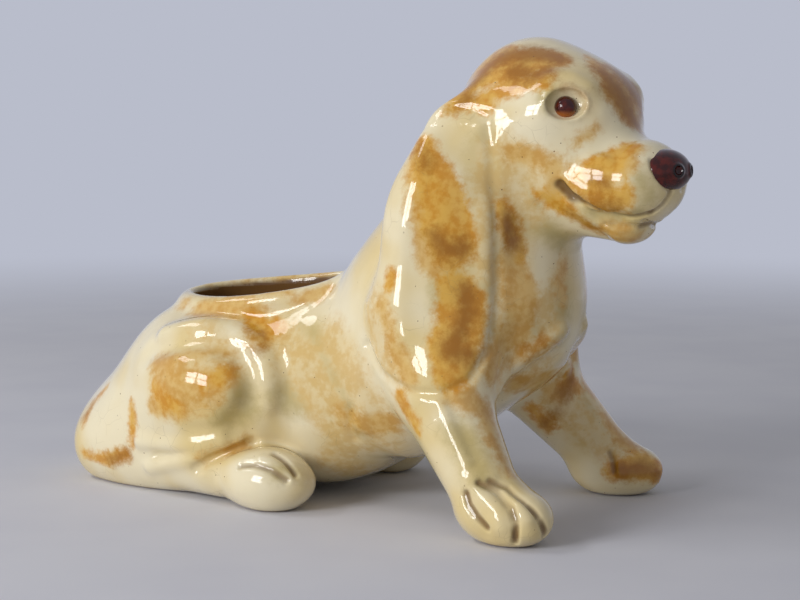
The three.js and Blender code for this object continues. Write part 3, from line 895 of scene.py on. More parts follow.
OCHRE_WASHES = (
    Wash("cheek", ((516, 152, 7), (534, 158, 8), (556, 168, 8), (556, 188, 9)), HEAD),
    Wash("muzzle_pale", ((572, 182, 7), (600, 178, 17), (624, 163, 12), (634, 150, 6)), HEAD),
    Wash("chin", ((606, 229, 6), (620, 233, 8), (634, 236, 6)), HEAD),
    Wash("under_eye", ((576, 144, 2), (587, 135, 3), (597, 127, 2.5)), HEAD),
    Wash("ear_pale", ((381, 305, 7), (388, 325, 8), (402, 362, 8), (410, 378, 7))),
    Wash("ear_upper_pale", ((420, 160, 12), (440, 250, 24))),
    Wash("chest_upper", ((512, 262, 12), (519, 285, 16), (520, 310, 17), (518, 332, 15))),
    Wash("chest_spot", ((562, 268, 6), (558, 283, 8), (565, 300, 6))),
    Wash("chest_low", ((500, 352, 12), (492, 370, 11), (510, 335, 15))),
    Wash("chest_stroke_pale", ((512, 360, 6), (548, 345, 8))),
    Wash("leg_top", ((446, 398, 6), (468, 400, 11), (484, 410, 9), (492, 440, 5))),
    Wash("leg_front", ((494, 440, 4), (502, 458, 5), (508, 472, 4))),
    Wash("far_leg_top", ((515, 385, 10), (540, 380, 12), (556, 392, 10)), SEEN),
    Wash("far_leg_front", ((604, 415, 6), (618, 436, 8), (632, 450, 7)), SEEN),
    Wash("rump_edge", ((172, 300, 7), (184, 303, 7)), SEEN),
    Wash("rim_far", ((212, 286, 3), (248, 281.5, 3.5), (290, 277.5, 4), (332, 273, 4)), SEEN),
    Wash("rim_near", ((205, 295, 2), (250, 295.5, 2.5), (290, 292, 3)), SEEN),
    Wash("under_rim", ((198, 311, 9), (225, 307, 12), (252, 309, 11))),
    Wash("rim_front", ((296, 301, 6), (313, 294, 7), (330, 288, 4)), SEEN),
    Wash("flank_pale", ((262, 320, 10), (268, 342, 9), (280, 332, 8))),
    Wash("thigh_high", ((152, 362, 9), (170, 366, 10), (200, 353, 8), (222, 348, 7))),
    Wash("thigh_wide", ((160, 388, 13), (188, 388, 20), (214, 385, 16), (230, 374, 8))),
    Wash("thigh_low", ((152, 406, 7), (178, 408, 9), (204, 405, 8))),
    Wash("belly_wash", ((345, 418, 8), (365, 424, 12), (392, 420, 10))),
    Wash("shank_wash", ((200, 457, 3), (225, 449, 4), (246, 444, 3))),
)

AMBER_WASHES = (
    Wash(
        "crown_dark",
        ((474, 84, 6), (490, 66, 10), (506, 56, 12), (528, 54, 13), (550, 56, 10), (562, 60, 7)),
        SEEN,
    ),
    Wash("crown_dark_low", ((514, 72, 8), (532, 76, 8), (548, 72, 8)), SEEN),
    Wash("crown_tail_dark", ((458, 104, 3), (468, 98, 5)), SEEN),
    Wash("far_brow_dark", ((600, 72, 8), (614, 90, 12), (627, 110, 12), (638, 126, 8)), SEEN),
    Wash("far_brow_edge", ((618, 72, 8), (634, 92, 10), (642, 110, 8), (645, 128, 5)), SEEN),
    Wash("socket_glow", ((565, 89, 1.2), (574, 91, 2), (582, 97, 2.2), (585, 105, 1.8)), HEAD),
    Wash("ear_dark_top", ((421, 152, 5), (427, 164, 6))),
    Wash("ear_dark_foot", ((434, 236, 6), (446, 250, 9), (462, 250, 10))),
    Wash("ear_oval_dark", ((466, 292, 7), (470, 312, 9), (460, 330, 9), (452, 350, 10), (470, 352, 7))),
    Wash("jaw_dark", ((572, 218, 2), (584, 224, 2.5), (596, 230, 2))),
    Wash("lip_dark", ((588, 199, 4), (604, 205, 5), (620, 206, 4))),
    Wash("muzzle_dark", ((592, 176, 3), (608, 186, 3))),
    Wash("flank_darker", ((256, 336, 5), (260, 350, 5))),
    Wash("far_paw_dark", ((622, 472, 7), (640, 468, 7), (656, 472, 6)), SEEN),
    Wash("far_leg_dark", ((545, 424, 5), (570, 380, 4)), SEEN),
    Wash("rump_band_dark", ((112, 461, 2.5), (128, 453, 3))),
    Wash("rump_arc_dark", ((94, 402, 3.5), (86, 416, 3))),
    Wash("neck_dark", ((506, 222, 6), (514, 244, 7))),
    Wash("chest_dark", ((528, 349, 3), (541, 341, 3.5))),
)

OLIVE_WASHES = (
    Wash("flank_olive", ((292, 338, 20), (318, 356, 28), (300, 392, 24), (338, 388, 26))),
    Wash("thigh_olive", ((240, 392, 12), (246, 410, 10), (222, 420, 8))),
    # painted shade: olive darkening the back corner of each eye's dish
    Wash("socket_corner_painted_shade", ((545, 98, 2.5), (551, 96, 4), (552, 104, 3)), HEAD),
    Wash("cheek_green", ((528, 178, 6), (532, 198, 8), (528, 215, 9))),
    # painted shade: olive along each ear's front side, which faces away from the light; the
    # ear_olive_painted_shade_and_patches dabs lower on the flap are olive patches of the glaze
    Wash("ear_front_olive_painted_shade", ((484, 145, 11), (486, 190, 13), (487, 240, 13), (487, 290, 11))),
    Wash("ear_olive_painted_shade_and_patches", ((482, 150, 7), (485, 190, 8), (482, 225, 9), (446, 252, 9), (446, 300, 8))),
    Wash("lip_green", ((590, 212, 4), (606, 216, 4), (640, 212, 5))),
    Wash("leg_olive", ((455, 430, 10), (475, 455, 10), (482, 475, 8))),
    Wash("far_leg_olive", ((585, 410, 10), (600, 440, 10)), SEEN),
    Wash("neck_green", ((540, 225, 9), (560, 237, 8))),
    Wash("chest_olive", ((560, 300, 14), (556, 335, 14), (500, 330, 14))),
    Wash("paw_olive", ((280, 470, 6), (295, 470, 5))),
    Wash("muzzle_olive", ((640, 180, 8), (650, 198, 7)), HEAD),
)

TAN_WASHES = (
    Wash("chest_tan", ((505, 275, 14), (512, 305, 22), (512, 340, 24), (495, 365, 16))),
    Wash("chest_front", ((545, 300, 14), (550, 330, 16), (535, 360, 14), (560, 372, 10))),
    Wash("far_leg_tan", ((530, 395, 14), (560, 400, 20), (590, 430, 16), (615, 455, 14)), SEEN),
    Wash("belly_tan", ((345, 430, 16), (378, 432, 18), (330, 462, 14), (370, 470, 14))),
    # painted shade: tan down each ear's front side, which faces away from the light
    Wash("ear_front_tan_painted_shade", ((484, 150, 9), (485, 180, 13), (486, 220, 14), (486, 270, 13))),
    Wash("ear_tan", ((470, 372, 10), (480, 350, 10), (480, 300, 8))),
    Wash("neck_tan", ((505, 215, 14), (515, 245, 16))),
    Wash("leg_tan", ((495, 430, 8), (508, 465, 8))),
    Wash("cheek_tan", ((506, 150, 13), (522, 166, 21), (542, 178, 20), (556, 200, 14)), HEAD),
    Wash("throat_tan", ((508, 185, 13), (520, 205, 14), (535, 218, 10)), HEAD),
    Wash("muzzle_tan", ((585, 175, 14), (612, 165, 14), (605, 195, 14)), HEAD),
    Wash("flank_tan", ((262, 330, 18), (290, 345, 22), (312, 380, 24), (330, 415, 24), (350, 440, 20))),
    Wash("waist_tan", ((330, 335, 16), (350, 370, 20), (372, 410, 18), (385, 445, 14))),
    Wash("shoulder_tan", ((372, 300, 10), (378, 340, 12), (392, 372, 12))),
    Wash("thigh_tan", ((160, 385, 18), (190, 380, 26), (225, 370, 18), (200, 320, 14), (250, 315, 14))),
    Wash("nape_tan", ((383, 300, 8), (386, 325, 9), (395, 350, 8))),
)


@dataclass(frozen=True)
class Puppy:
    """The whole puppy: its forms melded, tooled and parted into pieces."""

    trunk: Trunk = Trunk()
    mouth: PlantingMouth = PlantingMouth()
    head: Head = Head()
    ear: Ear = Ear()
    foreleg: Foreleg = Foreleg()
    hind_paw: HindPaw = HindPaw()
    tail: Tail = Tail()
    nose: Nose = Nose()
    eye: Eye = Eye()
    joint_height: float = 86
    ear_fillet: float = 3.0
    ear_root_fillet: float = 9.0
    ear_root: tuple[float, float] = (103.0, 117.0)
    leg_fillet: float = 5.0
    paw_fillet: float = 3.5
    tail_fillet: float = 3.0
    seat: float = 1.5
    pool_spread: float = 1.25
    pool_width: float = 1.45
    head_fillet: float = 8
    collar_fillet: float = 5
    line_reach: float = 2.4
    lap_gap: float = 0.08
    lap_start: float = 3
    lap_fade: float = 2
    lap_depth: float = 3.2
    rim_edge: float = 1.6
    foot_edge: float = 1.2
    nose_seat: float = 4.5
    lines: tuple[Line, ...] = ()

    def figure(self, p: Points) -> np.ndarray:
        """Body, neck and head before any tooling."""
        trunk = within(self.trunk.form, p, (-120, -54, -4), (72, 54, 110))
        head = within(self.head.form, p, (24, -32, 82), (114, 32, 151))
        collar = within(self.mouth.collar, p, (-78, -30, 40), (4, 30, 82))
        return meld(meld(trunk, head, self.head_fillet), collar, self.collar_fillet)

    def add_ons(self, p: Points) -> list[tuple[np.ndarray, np.ndarray]]:
        """Each limb's distance, both sides together, with the reach of its fillet."""
        return [
            (self.paired(self.ear.form, p, (15, -48, 40), (66, -8, 134)), self.ear_blend(p)),
            (
                self.paired(self.foreleg.form, p, (14, -54, -2), (86, -8, 72)),
                self.even(self.leg_fillet, p),
            ),
            (
                self.paired(self.hind_paw.form, p, (-46, -50, -2), (0, -22, 20)),
                self.even(self.paw_fillet, p),
            ),
            (within(self.tail.form, p, (-124, -2, -2), (-84, 46, 30)), self.even(self.tail_fillet, p)),
        ]

    def ear_blend(self, p: Points) -> np.ndarray:
        """How far the ear's fillet reaches: wide at its root, narrow along the flap."""
        low, high = self.ear_root
        up = np.clip((p[2] - low) / (high - low), 0, 1)
        return self.ear_fillet + (self.ear_root_fillet - self.ear_fillet) * up

    def even(self, width: float, p: Points) -> np.ndarray:
        """A fillet that reaches equally far all along a limb."""
        return np.full(p.shape[1], width, np.float32)

    def paired(self, form: Form, p: Points, low: Vec, high: Vec) -> np.ndarray:
        """Distance to a right-hand limb and its mirror image."""
        return np.minimum(within(form, p, low, high), within(form, mirrored(p), low, high))

    def blank(self, p: Points) -> np.ndarray:
        """The melded puppy before any tooling."""
        form = self.figure(p)
        for limb, fillet in self.add_ons(p):
            form = meld(form, limb, fillet)
        return form

    def rise(self, p: Points) -> np.ndarray:
        """How far the tooling stands up from the blank."""
        return self.summed(p, self.lines)

    def pooled(self, p: Points) -> np.ndarray:
        """How deep the glaze pools, which it does only in narrow grooves."""
        narrow = [line for line in self.lines if line.height < 0 and line.widths[0] < self.pool_width]
        wider = [Line(line.points, line.widths * self.pool_spread, line.height) for line in narrow]
        return -self.summed(p, wider)

    def summed(self, p: Points, lines: Sequence[Line]) -> np.ndarray:
        """How far some lines stand up at the points, all together.

        Args:
            p: The points.
            lines: The lines.

        Returns:
            The sum of their heights, which is negative in a groove.
        """
        total = np.zeros(p.shape[1], np.float32)
        low, high = p.min(1), p.max(1)
        for line in lines:
            reach = self.line_reach * float(line.widths[0])
            if not line.meets(low, high, reach):
                continue
            near = line.near(p, reach)
            if len(near):
                away, _ = line.away(p[:, near])
                total[near] += line.height * np.exp(-((away / line.widths[0]) ** 2))
        return total

    def dished(self, form: np.ndarray, p: Points) -> np.ndarray:
        """The form with the eyes' dishes pressed in."""
        return cut(form, -self.head.dish(p), self.head.socket_edge)

    def skin(self, p: Points) -> np.ndarray:
        """The melded and tooled puppy."""
        return self.dished(self.blank(p) - self.rise(p), p)

    def body_pot(self, p: Points) -> np.ndarray:
        """The hollow body with its planting mouth, up to the neck joint."""
        figure = self.figure(p)
        under = np.clip((p[2] - self.joint_height + self.lap_start) / self.lap_fade, 0, 1)
        form = figure - self.rise(p) + self.lap_gap * under
        form = cut(form, -self.mouth.hollow(p, figure), self.rim_edge)
        return self.grounded(np.maximum(form, p[2] - self.joint_height), p)

    def hollow_head(self, p: Points) -> np.ndarray:
        """The hollow head, down to the neck joint."""
        figure = self.figure(p)
        form = self.dished(figure - self.rise(p), p)
        form = np.maximum(form, -(figure + self.mouth.wall))
        return np.maximum(form, self.joint_height - self.lap_depth - p[2])

    def grounded(self, form: np.ndarray, p: Points) -> np.ndarray:
        """The form wiped level on the ground."""
        return cut(form, -p[2], self.foot_edge)

    def limb(self, form: Form, blend: Form, side: int, p: Points) -> np.ndarray:
        """One limb with its fillet, laid on the figure.

        Args:
            form: The limb's form, written out on the right.
            blend: How far its fillet reaches.
            side: 1 for the right-hand limb, -1 for the left-hand one.
            p: The points.

        Returns:
            The distances.
        """
        limb = form(p if side > 0 else mirrored(p))
        seated = -(self.figure(p) + self.seat)
        return self.grounded(np.maximum(np.maximum(self.skin(p), limb - blend(p)), seated), p)

    def nose_pad(self, p: Points) -> np.ndarray:
        """The nose, seated in the muzzle."""
        return np.maximum(self.nose.form(p, self.head), -(self.figure(p) + self.nose_seat))

    def eye_bead(self, side: int, p: Points) -> np.ndarray:
        """One eye, side 1 for the right and -1 for the left."""
        return self.eye.form(p, self.head, side)

    def shade(self, p: Points) -> np.ndarray:
        """Painted shade down the hollow's wall: how far inside the hollow each point of its wall lies, from
        0 at the lip to 1.
        """
        return self.mouth.shade(p, self.figure(p))


# Turning forms into meshes


@dataclass
class Skin:
    """A closed mesh in millimetres with a direction at each vertex."""

    vertices: np.ndarray
    quads: np.ndarray
    normals: np.ndarray


@dataclass(frozen=True)
class Box:
    """Where a piece is meshed, from its lowest to its highest corner, and the mesh's spacing."""

    low: Vec
    high: Vec
    step: float

    def twin(self) -> Box:
        """The box on the puppy's other side."""
        low, high = self.low, self.high
        return Box((low[0], -high[1], low[2]), (high[0], -low[1], high[2]), self.step)

    @staticmethod
    def around(at: Vec, reach: float, step: float) -> Box:
        """A cube round a place."""
        return Box(tuple(a - reach for a in at), tuple(a + reach for a in at), step)


@dataclass(frozen=True)
class Skinner:
    """Finds the surface of a form on a grid and draws it onto the form itself."""

    block: int = 4
    chunk: int = 12_000
    lanes: int = 4
    block_reach: float = 1.15
    band: float = 3.2
    quick_step: float = 1.5
    passes: int = 2
    probe: float = 0.35
    stride: float = 0.45
    spreading: int = 200
    crumb: float = 0.04
    least_slope: float = 1e-6

    def evaluate(self, form: Form, points: Points) -> np.ndarray:
        """The form's distances at many points, worked out in lanes side by side."""
        parts = [points[:, i : i + self.chunk] for i in range(0, points.shape[1], self.chunk)]
        with ThreadPoolExecutor(self.lanes) as pool:
            return np.concatenate(list(pool.map(form, parts)))

    def sample(self, form: Form, low: Sequence[float], high: Sequence[float], step: float) -> np.ndarray:
        """Distances on a grid, exact near the surface and rough elsewhere.

        Args:
            form: The form.
            low: The grid's lowest corner.
            high: The grid's highest corner.
            step: The grid's spacing.

        Returns:
            The distances, one for each grid point.
        """
        b = self.block
        blocks = np.ceil((np.array(high) - np.array(low)) / (step * b)).astype(int) + 1
        corner = np.stack(np.meshgrid(*[np.arange(n) for n in blocks], indexing="ij"), -1).reshape(-1, 3) * b
        centre = (np.array(low) + (corner + (b - 1) / 2) * step).T.astype(np.float32)
        rough = self.evaluate(form, centre)
        near = np.abs(rough) < b * step * self.block_reach + self.band
        values = np.repeat(rough[:, None], b**3, 1).astype(np.float32)
        inner = np.stack(np.meshgrid(*[np.arange(b)] * 3, indexing="ij"), -1).reshape(-1, 3)
        fine = np.array(low) + (corner[near][:, None, :] + inner[None]) * step
        values[near] = self.evaluate(form, fine.reshape(-1, 3).T.astype(np.float32)).reshape(-1, b**3)
        shaped = values.reshape(*blocks, b, b, b).transpose(0, 3, 1, 4, 2, 5)
        return shaped.reshape(*(blocks * b))

    def net(self, grid: np.ndarray, low: Sequence[float], step: float) -> tuple[np.ndarray, np.ndarray]:
        """A net of quads over the surface where the grid changes sign.

        Args:
            grid: The distances at the grid's points.
            low: The grid's lowest corner.
            step: The grid's spacing.

        Returns:
            The vertices and the quads.
        """
        inside = grid < 0
        size = np.array(grid.shape) - 1
        corners = [(i, j, k) for i in (0, 1) for j in (0, 1) for k in (0, 1)]
        filled = np.zeros(size, np.int8)
        for i, j, k in corners:
            filled += inside[i : size[0] + i, j : size[1] + j, k : size[2] + k]
        active = (filled > 0) & (filled < 8)
        cells = np.argwhere(active)
        number = np.full(size, -1, np.int64)
        number[active] = np.arange(len(cells))
        total = np.zeros((len(cells), 3))
        hits = np.zeros(len(cells))
        for axis in range(3):
            step_out = np.eye(3, dtype=int)[axis]
            for corner in corners:
                if corner[axis]:
                    continue
                a = cells + np.array(corner)
                b = a + step_out
                fa = grid[a[:, 0], a[:, 1], a[:, 2]]
                fb = grid[b[:, 0], b[:, 1], b[:, 2]]
                crossed = (fa < 0) != (fb < 0)
                t = np.where(crossed, fa / np.where(crossed, fa - fb, 1), 0)
                total += np.where(crossed[:, None], np.array(corner) + t[:, None] * step_out, 0)
                hits += crossed
        vertices = np.array(low) + (cells + total / hits[:, None]) * step
        quads = [self.faces(inside, number, axis) for axis in range(3)]
        return vertices, np.concatenate(quads)

    def faces(self, inside: np.ndarray, number: np.ndarray, axis: int) -> np.ndarray:
        """The quads that cross the grid's edges along one axis.

        Args:
            inside: Whether each of the grid's points is in the clay.
            number: The vertex in each of its cells, or -1.
            axis: The axis.

        Returns:
            The quads, facing out of the clay.
        """
        u, v = (axis + 1) % 3, (axis + 2) % 3
        along = np.eye(3, dtype=int)
        here = inside[tuple(slice(0, -1) if k == axis else slice(None) for k in range(3))]
        there = inside[tuple(slice(1, None) if k == axis else slice(None) for k in range(3))]
        edges = np.argwhere(here != there)
        size = np.array(number.shape)
        room = (edges[:, u] > 0) & (edges[:, v] > 0) & (edges[:, u] < size[u]) & (edges[:, v] < size[v])
        edges = edges[room]
        around = [edges, edges - along[u], edges - along[u] - along[v], edges - along[v]]
        quad = np.stack([number[c[:, 0], c[:, 1], c[:, 2]] for c in around], 1)
        leaving = inside[edges[:, 0], edges[:, 1], edges[:, 2]]
        quad[~leaving] = quad[~leaving][:, ::-1]
        return quad

    def slope(self, form: Form, points: Points, probe: float) -> tuple[np.ndarray, np.ndarray]:
        """The form's distance and its steepest direction at each point.

        Args:
            form: The form.
            points: The points.
            probe: How far from each point the form is felt.

        Returns:
            The distances and the directions.
        """
        corners = np.array([(1, -1, -1), (-1, -1, 1), (-1, 1, -1), (1, 1, 1)], np.float32)
        value = np.zeros(points.shape[1], np.float32)
        rise = np.zeros(points.shape, np.float32)
        for corner in corners:
            f = self.evaluate(form, points + column(corner) * probe)
            value += f / 4
            rise += column(corner) * f
        return value, rise / (4 * probe)

    def main_body(self, vertices: np.ndarray, quads: np.ndarray) -> tuple[np.ndarray, np.ndarray]:
        """The largest connected shells, without loose crumbs.

        Args:
            vertices: The net's vertices.
            quads: The net's quads.

        Returns:
            The vertices and quads that stay.
        """
        label = np.arange(len(vertices))
        for _ in range(self.spreading):
            least = label[quads].min(1)
            before = label.copy()
            for k in range(4):
                np.minimum.at(label, quads[:, k], least)
            label = label[label]
            if (label == before).all():
                break
        names, counts = np.unique(label, return_counts=True)
        kept = np.isin(label, names[counts > self.crumb * counts.max()])
        renumber = np.cumsum(kept) - 1
        return vertices[kept], renumber[quads[kept[quads[:, 0]]]]

    def skin(self, form: Form, box: Box) -> Skin:
        """The closed surface of a form inside a box.

        Args:
            form: The form.
            box: Where to look for it, and how finely.

        Returns:
            The surface with a smooth direction at each vertex.
        """
        step = box.step * 1.0
        grid = self.sample(form, box.low, box.high, step)
        vertices, quads = self.main_body(*self.net(grid, box.low, step))
        points = vertices.T.astype(np.float32)
        for _ in range(self.passes):
            value, rise = self.slope(form, points, self.probe * step)
            steep = (rise * rise).sum(0) + self.least_slope
            move = -value / steep * rise
            length = np.sqrt((move * move).sum(0)) + TINY
            points = points + move * np.minimum(1, self.stride * step / length)
        normals = rise / (np.sqrt((rise * rise).sum(0)) + TINY)
        return Skin(points.T, quads, normals.T)


# Washes over the clay


@dataclass
class WashSet:
    """Brush strokes of one colour, as a depth into them in millimetres at any point."""

    lines: list[Line]
    fade: float = 6.0
    fillet: float = 2.0

    def depth(self, p: Points) -> np.ndarray:
        """How far the points lie inside the washes.

        Args:
            p: The points.

        Returns:
            Their depth, from -fade to fade.
        """
        depth = np.full(p.shape[1], -self.fade, np.float32)
        low, high = p.min(1), p.max(1)
        for line in self.lines:
            reach = self.fade + float(line.widths.max())
            if not line.meets(low, high, reach):
                continue
            near = line.near(p, reach)
            if len(near):
                _, inset = line.away(p[:, near])
                depth[near] = -meld(-depth[near], inset, self.fillet)
        return np.clip(depth, -self.fade, self.fade)


# Finishes


@dataclass(frozen=True)
class Patches:
    """Soft patches of noise: their size in millimetres, and the values that they come in between."""

    size: float
    low: float
    high: float
    to_low: float = 0.0
    to_high: float = 1.0
    detail: float = 2.0


Layer = tuple[float, float, float]


class Nodes:
    """A small hand for laying out the nodes of a material or a world."""

    noise_roughness = 0.55

    def __init__(self, owner: bpy.types.Material | bpy.types.World) -> None:
        """Clears the owner's nodes."""
        owner.use_nodes = True
        self.tree = owner.node_tree
        self.tree.nodes.clear()

    def add(self, kind: str, **values: object) -> bpy.types.Node:
        """Adds a node and sets its properties."""
        node = self.tree.nodes.new(kind)
        for name, value in values.items():
            setattr(node, name, value)
        return node

    def link(self, out: bpy.types.NodeSocket, into: bpy.types.NodeSocket) -> None:
        """Links two sockets."""
        self.tree.links.new(out, into)

    def put(self, socket: bpy.types.NodeSocket, value: object) -> None:
        """Links a socket to another, or sets its value."""
        if isinstance(value, bpy.types.NodeSocket):
            self.link(value, socket)
        else:
            socket.default_value = value

    def fill(self, node: bpy.types.Node, values: dict[str, object]) -> bpy.types.Node:
        """Puts a value into each named socket of a node."""
        for name, value in values.items():
            self.put(node.inputs[name], value)
        return node

    def math(self, operation: str, a: object, b: object) -> bpy.types.NodeSocket:
        """A Math node's result."""
        node = self.add("ShaderNodeMath", operation=operation)
        self.put(node.inputs[0], a)
        self.put(node.inputs[1], b)
        return node.outputs[0]

    def ease(
        self,
        value: object,
        low: float,
        high: float,
        to_low: float = 0.0,
        to_high: float = 1.0,
    ) -> bpy.types.NodeSocket:
        """A value eased from one range to another.

        Args:
            value: The value.
            low: The first range's start.
            high: The first range's end.
            to_low: The second range's start.
            to_high: The second range's end.

        Returns:
            The eased value.
        """
        node = self.add("ShaderNodeMapRange", interpolation_type="SMOOTHSTEP")
        values = {"Value": value, "From Min": low, "From Max": high, "To Min": to_low, "To Max": to_high}
        return self.fill(node, values).outputs["Result"]

    def mix(self, share: object, a: object, b: object) -> bpy.types.NodeSocket:
        """Two colours mixed."""
        node = self.add("ShaderNodeMix", data_type="RGBA")
        self.put(node.inputs["Factor"], share)
        self.put(node.inputs["A"], a)
        self.put(node.inputs["B"], b)
        return node.outputs["Result"]

    def noise(self, size: float, detail: float) -> bpy.types.NodeSocket:
        """Noise with features of a size in millimetres."""
        values = {"Scale": 1 / (size * MM), "Detail": detail, "Roughness": self.noise_roughness}
        node = self.fill(self.add("ShaderNodeTexNoise"), {"Vector": self.place(), **values})
        return node.outputs["Fac"]

    def patches(self, patches: Patches) -> bpy.types.NodeSocket:
        """Soft patches of noise."""
        noise = self.noise(patches.size, patches.detail)
        return self.ease(noise, patches.low, patches.high, patches.to_low, patches.to_high)

    def layered(self, layers: Sequence[Layer]) -> bpy.types.NodeSocket:
        """The sum of some noises, each with its size, detail and weight."""
        total = None
        for size, detail, weight in layers:
            layer = self.math("MULTIPLY", self.noise(size, detail), weight)
            total = layer if total is None else self.math("ADD", total, layer)
        return total

    def bump(self, height: object, strength: float, distance: float) -> bpy.types.NodeSocket:
        """A surface direction that follows a height."""
        values = {"Height": height, "Strength": strength, "Distance": distance}
        return self.fill(self.add("ShaderNodeBump"), values).outputs["Normal"]

    def blend(self, share: object, a: bpy.types.Node, b: bpy.types.Node) -> bpy.types.Node:
        """Two shaders mixed."""
        node = self.add("ShaderNodeMixShader")
        for socket, source in zip(node.inputs, (share, a.outputs[0], b.outputs[0])):
            self.link(source, socket)
        return node

    def surface(self, shader: bpy.types.Node, kind: str = "ShaderNodeOutputMaterial") -> None:
        """Ends the tree in a shader."""
        self.link(shader.outputs[0], self.add(kind).inputs["Surface"])

    def place(self) -> bpy.types.NodeSocket:
        """The Object coordinates."""
        if not hasattr(self, "_place"):
            self._place = self.add("ShaderNodeTexCoord").outputs["Object"]
        return self._place

    def attribute(self, name: str) -> bpy.types.NodeSocket:
        """A number kept on the mesh."""
        return self.add("ShaderNodeAttribute", attribute_name=name).outputs["Fac"]


def colour(code: str) -> tuple[float, float, float, float]:
    """A colour written as six hexadecimal digits, as Blender's linear values."""
    parts = [int(code[i : i + 2], 16) / 255 for i in (0, 2, 4)]
    linear = [c / 12.92 if c <= 0.04045 else ((c + 0.055) / 1.055) ** 2.4 for c in parts]
    return (*linear, 1.0)


@dataclass(frozen=True)
class Coat:
    """How one colour of wash covers what is under it, from its edge to where it is full."""

    wash: str
    edge: float
    full: float
    cover: float
    deep: str
    pale: str = ""


